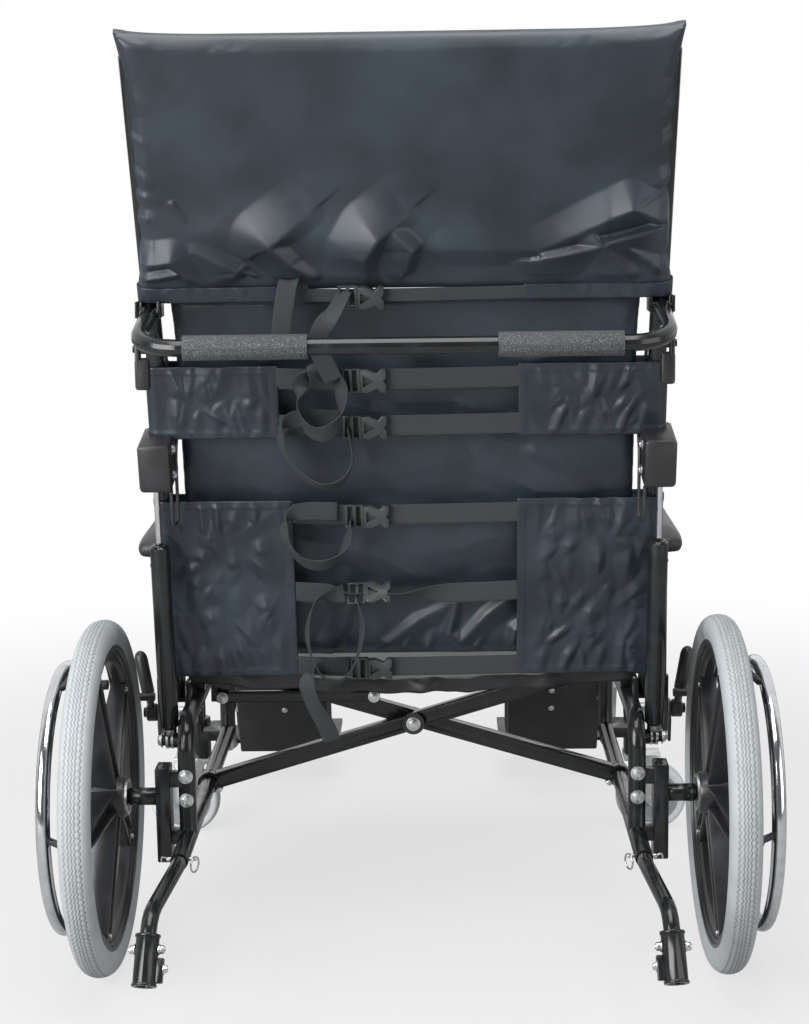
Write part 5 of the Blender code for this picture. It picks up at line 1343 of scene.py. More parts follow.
@dataclass
class Strapping(Assembly):
    """Flaps, straps, buckles and loose strap ends across the back."""

    line: BackLine
    middle_z: tuple[float, float] = (0.774, 0.876)
    lower_z: tuple[float, float] = (0.414, 0.682)
    head_t: tuple[float, float] = (0.058, 0.0800)
    middle_width: tuple[float, float] = (0.184, 0.205)
    lower_width: tuple[float, float] = (0.196, 0.206)
    head_width: tuple[float, float] = (0.188, 0.199)
    strap_z: tuple[float, ...] = (0.859, 0.793, 0.663, 0.545, 0.429)
    buckle_x: float = -0.058
    buckle_reach: float = 0.030
    strap_v: float = -0.0160
    strap_width: float = 0.030
    head_strap_t: float = 0.0690
    head_strap_width: float = 0.019
    end_width: float = 0.026

    def build(self) -> None:
        """Builds the flaps, then the straps with their buckles, then the loose ends."""
        groups = (
            ("head", "head_extension", self.head_width, self.head_t, True, "head_band"),
            ("middle", "back", self.middle_width, self.span(self.middle_z), False, "middle_band"),
            ("lower", "back", self.lower_width, self.span(self.lower_z), False, "lower_band"),
        )
        for word, body, widths, (low, high), upper, node in groups:
            for side, width in zip(Side, widths):
                name = f"{word}_flap_{side.word}"
                flap = Flap(self.line, side, name, body, width, low, high, upper).build()
                if side is Side.LEFT:
                    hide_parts(node)
        spot, width = self.head_strap_t, self.head_strap_width
        self.strap("head_strap", "head_extension", self.line.high, spot, self.head_width, width)
        for index, z in enumerate(self.strap_z):
            name, spot, rolled = f"strap_{index + 1}", self.line.s_at(z), index == 3
            widths = self.middle_width if index < 2 else self.lower_width
            self.strap(name, "back", self.line.low, spot, widths, self.strap_width, rolled)
        self.loose_ends()

    def span(self, heights: tuple[float, float]) -> tuple[float, float]:
        """Two heights as places up the canes."""
        return self.line.s_at(heights[0]), self.line.s_at(heights[1])

    def strap(
        self,
        name: str,
        body: str,
        point: Callable[..., Vector],
        s: float,
        flaps: tuple[float, float],
        width: float,
        rolled: bool = False,
    ) -> None:
        """Builds one strap from flap to flap, with its buckle.

        Args:
            name: The strap's name.
            body: The body that carries it.
            point: The part of the back that it crosses.
            s: How far up that part it lies.
            flaps: The widths of the flaps that hold it, left and right.
            width: The strap's width.
            rolled: Whether it has rolled onto its edge in the middle.
        """
        first, last = (self.line.cane_x + self.line.cane_radius - flap for flap in flaps)
        left, right = self.buckle_x - self.buckle_reach, self.buckle_x + self.buckle_reach
        tucked, lying = -0.0125, self.strap_v
        dip = -0.004 if rolled else -0.0015
        up = point(0.0, 1.0, 0.0) - point(0.0, 0.0, 0.0)
        out = point(0.0, 0.0, -1.0) - point(0.0, 0.0, 0.0)
        turned = 0.45 * up + 0.9 * out if rolled else up
        runs = {
            "left": [
                (-first - 0.016, tucked, up),
                (-first + 0.004, lying, up),
                (-0.5 * first - 0.04, lying - 0.002, up),
                (left, lying - 0.003, turned),
                (left + 0.022, lying - 0.003, turned),
            ],
            "right": [
                (right - 0.004, lying - 0.002, turned),
                (right + 0.02, lying - 0.002, turned),
                (0.4 * last, lying - 0.001, up),
                (last - 0.004, lying, up),
                (last + 0.016, tucked, up),
            ],
        }
        for part, run in runs.items():
            points = [point(x, s + dip * (1 - (x / first) ** 2), v) for x, v, _ in run]
            Ribbon(f"{name}_{part}", body, points, [turn for _, _, turn in run], width).build()
        tilt = 0.9 if rolled else 0.0

        def spot(x: float, y: float, h: float) -> Vector:
            """A point of the buckle: along its strap, up and out from it."""
            rise = y * math.cos(tilt) + h * math.sin(tilt)
            depth = h * math.cos(tilt) - y * math.sin(tilt)
            return point(self.buckle_x + x, s + dip + rise, lying - 0.004 - depth)

        Buckle(f"{name}_buckle", body, spot).build()

    def loose_ends(self) -> None:
        """Builds the strap ends that hang and curl behind the straps."""
        up, side, out = Vector((0, 0, 1)), Vector((1, 0, 0)), Vector((0, -1, 0))

        def at(x: float, z: float, v: float) -> Vector:
            """A point at a place across, a height and a way forward of the canes, in millimetres."""
            return self.line.low(x / 1000, self.line.s_at(z / 1000), v / 1000)

        ends: dict[str, tuple[list[Point], list[Vector]]] = {
            "folded_end": (
                [(-135, 968, -30), (-146, 998, -36), (-154, 1000, -50),
                 (-160, 972, -52), (-166, 935, -46), (-169, 900, -38)],
                [side + 0.5 * up, side + 0.3 * up, side, side, side, side],
            ),
            "twisted_end": (
                [(-80, 985, -36), (-93, 962, -50), (-112, 938, -56),
                 (-117, 912, -46), (-108, 885, -40), (-98, 862, -36)],
                [up + side, up + side, side + 0.4 * up, side, side + 0.3 * up, side + 0.3 * up],
            ),
            "ring_end": (
                [(-103, 866, -24), (-135, 872, -36), (-148, 835, -44),
                 (-135, 800, -50), (-112, 792, -52), (-91, 810, -46),
                 (-88, 846, -34), (-93, 868, -24)],
                [up, side + 0.5 * up - out, out + 0.3 * up, up + out,
                 up + 0.6 * out, up + out, out + side, out],
            ),
            "middle_loop_end": (
                [(-93, 804, -26), (-157, 806, -34), (-174, 776, -40),
                 (-154, 738, -46), (-120, 716, -50), (-90, 722, -46),
                 (-75, 752, -40), (-81, 792, -28)],
                [up, up + 0.4 * out, out + 0.5 * side, out + 0.6 * up,
                 out + 0.5 * up, out + 0.5 * up, out, out],
            ),
            "upper_loop_end": (
                [(-100, 670, -26), (-157, 672, -36), (-174, 640, -42),
                 (-150, 606, -50), (-115, 602, -52), (-88, 628, -44),
                 (-81, 660, -30)],
                [up, up + 0.3 * out, out + 0.6 * side, out + 0.8 * up, out + 0.9 * up, out + 0.4 * side, out],
            ),
            "oval_loop_end": (
                [(-93, 548, -30), (-133, 540, -40), (-147, 488, -48),
                 (-132, 436, -50), (-105, 420, -50), (-81, 446, -48),
                 (-68, 500, -42), (-76, 544, -30)],
                [up, out + 0.3 * up, out + 0.3 * side, out + 0.4 * up,
                 out + 0.6 * up, out, out + 0.3 * side, out],
            ),
            "hanging_end": (
                [(-90, 436, -30), (-125, 440, -44), (-149, 418, -50),
                 (-142, 384, -48), (-127, 350, -42), (-117, 318, -36)],
                [up, up + 0.4 * out, side + 0.5 * out, side + 0.4 * out, side + 0.2 * up, side + 0.2 * up],
            ),
        }
        for name, (points, across) in ends.items():
            body = "head_extension" if name in ("folded_end", "twisted_end") else "back"
            Ribbon(name, body, [at(*point) for point in points], across, self.end_width, "hung").build()


@dataclass
class Seat(Assembly):
    """Seat sling with its gathered rear hem."""

    half_width: float = 0.333
    rail_inner: float = 0.311
    rear_y: float = AXLE_Y + 0.134
    front_y: float = AXLE_Y + 0.566
    rail_top: float = 0.4043
    sag: float = 0.017
    drop: float = 0.021
    fold: float = 0.007
    thickness: float = 0.0020

    def height(self, x: float, y: float) -> float:
        """How high the sling lies.

        Args:
            x: The place across.
            y: The place along.

        Returns:
            The height.
        """
        inside = min(abs(x) / self.rail_inner, 1.0)
        hang = (1 - inside**2) * self.sag
        wave = noise.noise(Vector((x * 34.0, y * 6.0, 2.0))) + 0.6 * math.sin(x * 62.0)
        gathers = 0.0035 * wave * math.exp(-(y - self.rear_y) / 0.03) * (1 - inside**4)
        return self.rail_top + 0.002 - hang + gathers

    def hem(self, x: float, fall: float) -> Vector:
        """A point on the rear hem, which hangs in soft folds behind the seat.

        Args:
            x: The place across.
            fall: How far down the hem it is, as a share.

        Returns:
            The point.
        """
        drift = 3.0 * noise.noise(Vector((x * 9.0, 0, 0)))
        wave = noise.noise(Vector((x * 21.0, 0.7, 4.0))) + 0.4 * math.sin(x * 47.0 + drift)
        lip = 0.002 * math.sin(min(fall * 4, 1.0) * math.pi / 2)
        back = self.fold * wave * math.sin(fall * math.pi * 0.6) + lip
        drop = fall * self.drop * (1 + 0.16 * noise.noise(Vector((x * 15.0, 2.0, 0.0))))
        return Vector((x, self.rear_y - back, self.height(x, self.rear_y) - drop))

    def build(self) -> None:
        """Builds the sling, which turns down into its rear hem."""
        length = self.front_y - self.rear_y
        total = length + self.drop

        def place(across: float, along: float) -> Vector:
            """A point of the sling, from its shares across and along."""
            x, way = (2 * across - 1) * self.half_width, along * total - self.drop
            if way < 0:
                return self.hem(x, -way / self.drop)
            return Vector((x, self.rear_y + way, self.height(x, self.rear_y + way)))

        flat = (2 * self.half_width, total)
        sling = Bench.sheet("seat_cover", 200, 110, flat, place)
        Bench.thicken(sling, self.thickness)
        self.hang(sling, "frame", BLACK_HEM, ["seat_sling"])


@dataclass
class ArmPad(Pad):
    """Vinyl arm pad on its tube."""

    side: Side
    x: float = 0.372
    seat: float = 0.5851
    width: float = 0.056
    rear_y: float = AXLE_Y + 0.086
    length: float = 0.388
    edge: float = 0.021
    crown: float = 0.010

    def place(self, a: float, b: float, c: float) -> Vector:
        """Where a share of the pad goes, flat below and crowned above."""
        swell = (1 - a**2) * (1 - b**6)
        top = (c + 1) / 2
        x = a * (self.width / 2 - 0.004 * c * c) * (1 - 0.22 * b**8)
        y = self.rear_y + self.length / 2 + b * (self.length / 2 - 0.004 * c * c - 0.006 * a * a)
        return Vector((self.side.value * self.x + x, y, self.seat + top * (self.edge + self.crown * swell)))

    def build(self) -> None:
        """Builds the pad, with its underside kept flat on its tube."""
        word = self.side.word
        pad = Bench.cushion(f"arm_cushion_{word}", 22, self.place)
        Bench.inflate(pad, 0.0045, 2.0, 0.003)
        spots = Bench.spots(pad)
        spots[:, 2] = np.maximum(spots[:, 2], self.seat)
        Bench.move(pad, spots)
        self.hang(pad, f"armrest_{word}", BLACK_VINYL, [f"arm_pad_{word}"])


@dataclass
class CalfPad(Pad):
    """Vinyl calf pad on its bracket."""

    side: Side
    knee: tuple[float, float] = (AXLE_Y + 0.700, 0.335)
    foot: tuple[float, float] = (AXLE_Y + 0.805, 0.085)
    inner_x: float = 0.158
    outer_x: float = 0.333
    top: float = 0.101
    length: float = 0.168
    rear: float = -0.0215
    edge: float = 0.022
    crown: float = 0.010
    shell: float = 0.0080
    lip: float = 0.005
    screw_x: float = 0.242
    screws: tuple[float, float] = (0.126, 0.166)

    def spot(self, x: float, s: float, v: float) -> Vector:
        """A point s down the leg from the knee and v forward of it."""
        down = Vector((0, self.foot[0] - self.knee[0], self.foot[1] - self.knee[1])).normalized()
        front = Vector((0, -down.z, down.y))
        return Vector((self.side.value * x, *self.knee)) + s * down + v * front

    def place(self, a: float, b: float, c: float) -> Vector:
        """Where a share of the pad goes, rounded at its corners and crowned in front."""
        half, middle = (self.outer_x - self.inner_x) / 2, (self.outer_x + self.inner_x) / 2
        swell = (1 - a**2) * (1 - b**2)
        x = middle + a * (half - 0.004 * c * c) * (1 - 0.10 * b**4)
        s = self.top + self.length / 2 + b * (self.length / 2 - 0.004 * c * c) * (1 - 0.10 * a**4)
        return self.spot(x, s, self.rear + (c + 1) / 2 * (self.edge + self.crown * swell))

    def build(self) -> None:
        """Builds the pad with its rear plate and screws."""
        word = self.side.word
        pad = Bench.cushion(f"calf_cushion_{word}", 24, self.place)
        Bench.inflate(pad, 0.0045, 2.0, 0.003)
        self.hang(pad, f"leg_{word}", BLACK_VINYL, [f"calf_pad_{word}"])
        low, high = self.top + self.lip, self.top + self.length - self.lip
        left, right = self.inner_x + self.lip, self.outer_x - self.lip
        corners = [
            self.spot(x, s, self.rear - v)
            for v in (self.shell, 0.0004)
            for x, s in ((left, low), (right, low), (right, high), (left, high))
        ]
        shell = Bench.hexahedron(f"calf_shell_{word}", corners, 0.003)
        self.hang(shell, f"leg_{word}", BLACK_PLASTIC)
        behind = self.spot(0.0, 0.0, -1.0) - self.spot(0.0, 0.0, 0.0)
        screws = [
            Bench.bolt(self.spot(self.screw_x, s, self.rear - self.shell), behind, 0.0042, 0.003, Head.ROUND)
            for s in self.screws
        ]
        self.hang(Bench.fused(f"calf_screws_{word}", screws), f"leg_{word}", ZINC)


@dataclass
class RearWheel(Assembly):
    """Composite wheel with box spokes, a grooved tyre and a chrome push rim on pegs."""

    side: Side
    radius: float = 0.254
    tyre_height: float = 0.036
    tyre_width: float = 0.044
    rim_width: float = 0.034
    rim_depth: float = 0.0237
    hub_radius: float = 0.030
    hub_in: float = 0.0355
    hub_out: float = 0.030
    spokes: int = 5
    push_radius: float = 0.186
    push_tube: float = 0.0098
    push_offset: float = 0.051
    tread_steps: int = 1080
    tread_waves: int = 180
    tread_cuts: int = 20
    tread_half_width: float = 0.0148
    tread_depth: float = 0.0014
    groove_width: float = 0.0008
    lanes: tuple[float, ...] = (-0.0046, 0.0, 0.0046)
    lane_wave: float = 0.0012
    shoulder: float = 0.0090
    shoulder_wave: float = 0.0028

    @property
    def centre(self) -> Vector:
        """The middle of the wheel."""
        return Vector((self.side.value * WHEEL_X, AXLE_Y, AXLE_Z))

    @property
    def body(self) -> str:
        """The body that the wheel's pieces turn with."""
        return f"wheel_{self.side.word}"

    def spot(self, along: float, reach: float, turn: float, aside: float = 0.0) -> Vector:
        """A point on the wheel.

        Args:
            along: How far outwards along the axle it is.
            reach: How far from the axle it is.
            turn: The way that it lies, from forward towards up.
            aside: How far it is off that way.

        Returns:
            The point.
        """
        way, across = (math.cos(turn), math.sin(turn)), (-math.sin(turn), math.cos(turn))
        y, z = (reach * w + aside * a for w, a in zip(way, across))
        return self.centre + Vector((self.side.value * along, y, z))

    def turns(self) -> list[float]:
        """The ways that the spokes lie."""
        return [math.pi + 2 * math.pi * k / self.spokes for k in range(self.spokes)]

    def build(self) -> None:
        """Builds the tyre, the wheel and the push rim."""
        self.build_tyre()
        self.build_wheel()
        self.build_push_rim()

    def build_tyre(self) -> None:
        """Builds the tyre and cuts its zig-zag tread."""
        inner, half, flat = self.radius - self.tyre_height, self.tyre_width / 2, self.tread_half_width
        sides = [-half * math.cos(k * math.pi / 40) for k in range(20)]
        sides = [a for a in sides if a < -flat - 0.0008]
        crown = [flat * (k / self.tread_cuts - 1) for k in range(2 * self.tread_cuts + 1)]
        section = [(-0.5 * self.rim_width, inner)]
        for a in sides + crown + [-a for a in reversed(sides)]:
            bow = max(1 - (a / half) ** 2, 0.0) ** 0.36
            section.append((a, inner + (0.35 + 0.65 * bow) * self.tyre_height))
        section.append((0.5 * self.rim_width, inner))
        axis = (self.side.value, 0, 0)
        tyre = Bench.spun(f"tyre_tread_{self.side.word}", section, self.centre, axis, self.tread_steps)
        spots = Bench.spots(tyre) - np.array(self.centre)
        across, reach = spots[:, 0], np.hypot(spots[:, 1], spots[:, 2])
        wave = np.arctan2(spots[:, 2], spots[:, 1]) * self.tread_waves / (2 * np.pi)
        zigzag = 4 * np.abs(wave - np.floor(wave) - 0.5) - 1
        scallop = np.abs(np.sin(np.pi * wave))
        cuts = [across - lane - self.lane_wave * zigzag for lane in self.lanes]
        cuts.append(np.abs(across) - self.shoulder - self.shoulder_wave * scallop)
        groove = np.max([np.exp(-((cut / self.groove_width) ** 2)) for cut in cuts], axis=0)
        groove[reach < self.radius - 0.012] = 0.0
        spots[:, 1:] *= ((reach - self.tread_depth * groove) / reach)[:, None]
        Bench.move(tyre, spots + np.array(self.centre))
        Bench.mark(tyre, "groove", groove)
        Bench.take(tyre)
        bpy.ops.object.shade_smooth()
        self.hang(tyre, self.body, GREY_TYRE, [f"tyre_{self.side.word}"])

    def build_wheel(self) -> None:
        """Builds the rim, the hub and the spokes, and the hub's steel ring."""
        outer, half = self.radius - self.tyre_height - 0.0004, self.rim_width / 2
        inner = outer - self.rim_depth
        steps = ((0.0, 0.0), (0.0, 0.005), (0.003, 0.006), (0.004, 0.011), (0.007, 0.012))
        section = [(-half + along, outer - down) for along, down in steps]
        section += [(-half + 0.008, inner + 0.005), (-half + 0.011, inner)]
        section += [(-a, r) for a, r in reversed(section)]
        word, axis, face = self.side.word, (self.side.value, 0, 0), -self.hub_in
        parts = [Bench.spun("rim", section, self.centre, axis, 144)]
        radius = self.hub_radius
        barrel = [(face, 0.0), (face, 0.0215), (face + 0.003, 0.0225), (face + 0.003, 0.028)]
        barrel += [(face + 0.006, radius), (-0.010, radius), (0.010, radius + 0.004)]
        barrel += [(self.hub_out - 0.004, radius), (self.hub_out, 0.026), (self.hub_out, 0.0)]
        parts.append(Bench.spun("hub", barrel, self.centre, axis, 48, False))
        for turn in self.turns():
            parts += self.spoke(turn, inner + 0.006)
        wheel = Bench.fused(f"wheel_moulding_{word}", parts)
        self.hang(wheel, self.body, WHEEL_PLASTIC, [f"rear_wheel_{word}"])
        start, end = face - 0.0002, face + 0.004
        ring = [(start, 0.0215), (start, 0.0262), (end, 0.0262), (end, 0.0215)]
        self.hang(Bench.spun(f"hub_ring_{word}", ring, self.centre, axis, 48), self.body, ZINC)
        seats = [self.spot(-half + 0.0085, inner + 0.0035, turn) for turn in self.turns()]
        screws = [Bench.bolt(seat, (-self.side.value, 0, 0), 0.0042, 0.004, Head.ROUND) for seat in seats]
        self.hang(Bench.fused(f"rim_screws_{word}", screws), self.body, ZINC)

    def spoke(self, turn: float, end: float) -> list[Piece]:
        """One spoke: a thin web between two ribs, deep at the hub.

        Args:
            turn: The way that it lies.
            end: How far out it goes.

        Returns:
            Its blocks.
        """
        parts = []
        start = self.hub_radius * 0.8
        for aside_in, aside_out, depth_in, depth_out in (
            (0.0, 0.0, 0.010, 0.006),
            (0.0145, 0.0135, 0.022, 0.0105),
            (-0.0145, -0.0135, 0.022, 0.0105),
        ):
            thick_in, thick_out = (0.014, 0.013) if aside_in == 0.0 else (0.0025, 0.0022)
            ends = ((start, aside_in, depth_in, thick_in), (end, aside_out, depth_out, thick_out))
            corners = [
                self.spot(face * depth, reach, turn, aside + edge * thick)
                for reach, aside, depth, thick in ends
                for face, edge in ((-1, -1), (1, -1), (1, 1), (-1, 1))
            ]
            parts.append(Bench.hexahedron("rib", corners, 0.0012))
        return parts

    def build_push_rim(self) -> None:
        """Builds the chrome push rim and its black pegs."""
        word = self.side.word
        tube, turns = self.push_tube, [2 * math.pi * k / 24 for k in range(24)]
        section = [(tube * math.cos(turn), self.push_radius + tube * math.sin(turn)) for turn in turns]
        middle = self.centre + Vector((self.side.value * self.push_offset, 0, 0))
        rim = Bench.spun(f"push_rim_{word}", section, middle, (self.side.value, 0, 0), 160)
        self.hang(rim, self.body, CHROME, [f"handrim_{word}"])
        foot = self.rim_width / 2 + 0.0003
        ring = self.radius - self.tyre_height - 0.0123
        pegs = []
        for turn in self.turns():
            knee = self.spot(foot + 0.010, ring, turn)
            tip = self.spot(self.push_offset - 0.0085, self.push_radius, turn)
            pegs.append(Bench.rod("boss", self.spot(foot, ring, turn), knee, 0.0075, 20, 0.0012))
            pegs.append(Bench.rod("peg", self.spot(foot + 0.006, ring, turn), tip, 0.0050, 16))
        self.hang(Bench.fused(f"push_rim_pegs_{word}", pegs), self.body, BLACK_PLASTIC)


@dataclass
class CasterWheel(Assembly):
    """Caster wheel: a soft tyre on a moulded hub."""

    side: Side
    x: float = 0.405
    y: float = AXLE_Y + 0.572
    radius: float = 0.061
    width: float = 0.032
    tyre_height: float = 0.015

    def build(self) -> None:
        """Builds the tyre and the hub."""
        centre = (self.side.value * self.x, self.y, self.radius)
        half, inner = self.width / 2, self.radius - self.tyre_height
        section = [(-half, inner)]
        for k in range(19):
            turn = math.pi * k / 18
            bow = math.sin(turn) ** 0.55
            section.append((-half * math.cos(turn), inner + 0.002 + (self.tyre_height - 0.002) * bow))
        section.append((half, inner))
        word = self.side.word
        body = f"caster_roll_{word}"
        # The caster tyre takes the lightened rubber, which is painted light against the shade under the
        # chair.
        tyre = Bench.spun(f"caster_tyre_{word}", section, centre, (0, 1, 0), 96)
        self.hang(tyre, body, CASTER_TYRE_PAINTED_LIGHT, [f"caster_wheel_{word}"])
        lip = inner - 0.0003
        hub = [(-half + 0.001, lip), (-half + 0.001, lip - 0.004), (-half + 0.005, lip - 0.008)]
        hub += [(-half + 0.006, 0.018), (-half + 0.002, 0.015)]
        hub += [(-half - 0.0014, 0.013), (-half - 0.0014, 0.0052)]
        hub += [(-a, r) for a, r in reversed(hub)]
        self.hang(Bench.spun(f"caster_hub_{word}", hub, centre, (0, 1, 0), 72), body, HUB_PLASTIC)


@dataclass
class Fittings(Assembly):
    """One side's bolts, sleeves, yoke, rings and wheel lock, set where the frame's own parts join."""

    line: BackLine
    side: Side
    frame_x: float = 0.322
    tube: float = 0.0127
    rail_z: float = 0.195
    rail_end: float = AXLE_Y - 0.110
    block_face: float = 0.3663
    sleeve_length: float = 0.0390
    gas_x: float = 0.350
    gas_y: float = AXLE_Y + 0.040
    gas_z: float = 0.325
    gas_end: float = 0.298
    lock_x: float = 0.413
    lock_y: float = AXLE_Y + 0.2875
    lock_z: float = 0.297
    tip_bend: tuple[float, float, float] = (0.3364, AXLE_Y - 0.290, 0.190)
    tip_end: tuple[float, float, float] = (0.340, AXLE_Y - 0.338, 0.112)
    tip_radius: float = 0.0155
    ring_radius: float = 0.0105

    @property
    def out(self) -> Vector:
        """The way out from the chair's middle."""
        return Vector((self.side.value, 0, 0))

    def build(self) -> None:
        """Builds the fittings from the upright to the rail's rear end."""
        self.frame_bolts()
        self.axle_sleeve()
        self.gas_ends()
        self.wheel_lock()
        self.tip_sleeve()
        self.pull_ring()

    def at(self, x: float, y: float, z: float) -> Vector:
        """A point at this side of the chair."""
        return Vector((self.side.value * x, y, z))

    def fix(self, name: str, pieces: Sequence[Piece], body: str, finish: Finish) -> None:
        """Joins pieces to one fitting of this side and hangs it."""
        self.hang(Bench.fused(f"{name}_{self.side.word}", pieces), body, finish)

    def frame_bolts(self) -> None:
        """Builds the bolts of the rear upright, the back's pivot and the actuator box."""
        rear = Vector((0, -1, 0))
        pivot = self.at(0.3605, self.line.pivot_y, self.line.pivot_z)
        pieces = [Bench.bolt(pivot, self.out, 0.0080, 0.005)]
        for z in (0.252, 0.287):
            middle = self.at(self.frame_x, AXLE_Y, z)
            pieces.append(Bench.rod("seat", middle, middle + rear * (self.tube + 0.0008), 0.0098, 24, 0.0004))
            pieces.append(Bench.bolt(middle + rear * (self.tube + 0.0006), rear, 0.0080, 0.0070))
        self.fix("frame_bolts", pieces, "frame", ZINC)
        spots = [self.line.low(self.side.value * 0.325, s, -0.032) for s in (0.348, 0.386)]
        self.fix("box_bolts", [Bench.bolt(spot, -self.out, 0.0062, 0.004) for spot in spots], "back", ZINC)

    def axle_sleeve(self) -> None:
        """Builds the spacer sleeve between the axle block and the hub."""
        section = [(0.0, 0.0102), (0.0, 0.0120), (0.0008, 0.0126), (self.sleeve_length - 0.0008, 0.0126)]
        section += [(self.sleeve_length, 0.0120), (self.sleeve_length, 0.0102)]
        start = self.at(self.block_face, AXLE_Y, AXLE_Z)
        sleeve = Bench.spun(f"axle_sleeve_{self.side.word}", section, start, self.out, 48)
        self.hang(sleeve, "frame", BLACK_PAINT)

    def gas_ends(self) -> None:
        """Builds the gas spring's bright yoke, its nut and the ring near its upper end."""
        body, low = f"gas_barrel_{self.side.word}", self.at(self.gas_x, self.gas_y, self.gas_z)
        along = (self.line.low(self.side.value * self.gas_x, 0.354, -0.036) - low).normalized()
        neck = [(0.0098, 0.0), (0.0098, 0.0090), (0.0120, 0.0104), (0.0196, 0.0104), (0.0196, 0.0)]
        yoke = [Bench.spun("neck", neck, low, along, 32, False)]
        for inner, outer in ((-0.0057, -0.0018), (0.0018, 0.0057)):
            cheek = [(inner, 0.0051), (inner, 0.0112), (inner + 0.0006, 0.0118), (outer - 0.0006, 0.0118)]
            yoke.append(Bench.spun("cheek", cheek + [(outer, 0.0112), (outer, 0.0051)], low, (1, 0, 0), 36))
        self.fix("gas_yoke", yoke, body, ZINC)
        self.fix("gas_nut", [Bench.bolt(low + self.out * 0.0112, self.out, 0.0082, 0.006)], "frame", ZINC)
        start, end = self.gas_end - 0.031, self.gas_end - 0.028
        ring = [(start, 0.0138), (start, 0.0147), (end, 0.0147), (end, 0.0138)]
        self.hang(Bench.spun(f"gas_band_{self.side.word}", ring, low, along, 40), body, BLACK_PAINT)

    def wheel_lock(self) -> None:
        """Builds the lock's lever with its round-topped grip, and its bracket on the frame."""
        word, centre = self.side.word, self.at(self.lock_x, self.lock_y, self.lock_z)
        lean = self.at(0.019, 0.012, 0.097).normalized()
        grip = [(0.030, 0.0), (0.030, 0.0092), (0.033, 0.0102), (0.086, 0.0104), (0.0915, 0.0094)]
        grip += [(0.0960, 0.0070), (0.0988, 0.0034), (0.0996, 0.0)]
        hub = [(-0.008, 0.0083), (-0.008, 0.0125), (-0.0065, 0.0140)]
        hub += [(-a, r) for a, r in reversed(hub)]
        shoe = Vector((0.0, -0.018, 0.030))
        inner, outer = self.out * -0.008, self.out * 0.047
        pieces = [
            Bench.spun("grip", grip, centre, lean, 36, False),
            Bench.spun("hub", hub, centre, (1, 0, 0), 36),
            Bench.rod("stem", centre + lean * 0.0105, centre + lean * 0.034, 0.0056, 20),
            Bench.rod("arm", centre + shoe * 0.36, centre + shoe, 0.0052, 20),
            Bench.rod("shoe", centre + shoe + inner, centre + shoe + outer, 0.0064, 24, 0.0008),
        ]
        lever = Bench.fused(f"lock_lever_{word}", pieces)
        self.hang(lever, f"lock_{word}", BLACK_PLASTIC, [f"wheel_lock_{word}"])
        shape = ((-0.013, 0.013), (0.012, 0.013), (0.013, -0.024))
        shape += ((0.006, -0.052), (-0.008, -0.052), (-0.014, -0.018))
        outline = [self.at(0.3990, self.lock_y + y, self.lock_z + z) for y, z in shape]
        plate = Bench.plate(f"lock_bracket_{word}", outline, self.out * 0.0045, 0.0008)
        self.hang(plate, "frame", BLACK_PLASTIC)
        spots = [self.at(0.3990, self.lock_y - 0.002, self.lock_z + z) for z in (-0.018, -0.042)]
        bolts = [Bench.bolt(spot, -self.out, 0.0060, 0.006) for spot in spots]
        collar = [(0.0, 0.0081), (0.0, 0.0092), (0.0520, 0.0092), (0.0520, 0.0081)]
        start = self.at(0.3465, self.lock_y, self.lock_z)
        bolts.append(Bench.spun("collar", collar, start, self.out, 32))
        self.fix("lock_bolts", bolts, "frame", ZINC)

    def tip_sleeve(self) -> None:
        """Builds the rims, the ear and the cross bolts of the anti-tipper's lower sleeve."""
        body, end, inward = f"tipper_{self.side.word}", self.at(*self.tip_end), -self.out
        back = (self.at(*self.tip_bend) - end).normalized()
        front = Vector((1, 0, 0)).cross(back)
        rims = []
        for low, high in ((-0.0002, 0.0034), (0.0625, 0.0664)):
            section = [(low, 0.0148), (low, 0.0160), (low + 0.0008, 0.0166), (high - 0.0008, 0.0166)]
            rims.append(Bench.spun("rim", section + [(high, 0.0160), (high, 0.0148)], end, back, 48))
        corners = [
            end + inward * x + back * s + front * v
            for x in (0.0140, 0.0235)
            for s, v in ((0.004, -0.006), (0.004, 0.006), (0.036, 0.006), (0.036, -0.006))
        ]
        rims.append(Bench.hexahedron("ear", corners, 0.0016))
        self.fix("tip_sleeve_rims", rims, body, BLACK_PAINT)
        middle, seat = end + back * 0.047, self.tip_radius - 0.0006
        ways = (self.out, inward)
        bolts = [Bench.bolt(middle + way * seat, way, 0.0056, 0.0078, Head.ROUND) for way in ways]
        bolts.append(Bench.bolt(end + inward * 0.0232 + back * 0.022, inward, 0.0056, 0.0050))
        pin = end + inward * 0.0186 + back * 0.012 - front * 0.006
        bolts.append(Bench.bolt(pin, -front, 0.0036, 0.0030, Head.ROUND))
        self.fix("tip_bolts", bolts, body, ZINC)

    def pull_ring(self) -> None:
        """Builds the pin at the rail's rear end, with its pull ring inside and its clip outside."""
        middle, inward = self.at(self.frame_x, self.rail_end + 0.012, self.rail_z), -self.out
        face, tip, stub = inward * (self.tube - 0.0004), middle + inward * 0.0225, middle - inward * 0.0190
        pieces = [
            Bench.rod("pin", middle + face, tip, 0.0030, 20, 0.0006),
            Bench.rod("stub", middle - face, stub, 0.0030, 20, 0.0006),
        ]
        clip = [(0, 0, 0), (0.0030, -0.001, 0.0030), (0.0065, -0.002, 0.0036)]
        clip += [(0.0082, -0.002, 0.0006), (0.0078, -0.002, -0.0034)]
        foot = middle - inward * 0.0180
        pieces.append(Bench.tube("clip", [foot + self.at(*point) for point in clip], 0.0012))
        Bench.free()
        bpy.ops.mesh.primitive_torus_add(
            major_radius=self.ring_radius,
            minor_radius=0.0014,
            major_segments=40,
            minor_segments=12,
            location=tip + self.at(0.0022, -0.001, -self.ring_radius + 0.0026),
            rotation=(0.0, math.radians(90), self.side.value * math.radians(24)),
        )
        pieces.append(bpy.context.object)
        self.fix("pull_ring", pieces, "frame", ZINC)


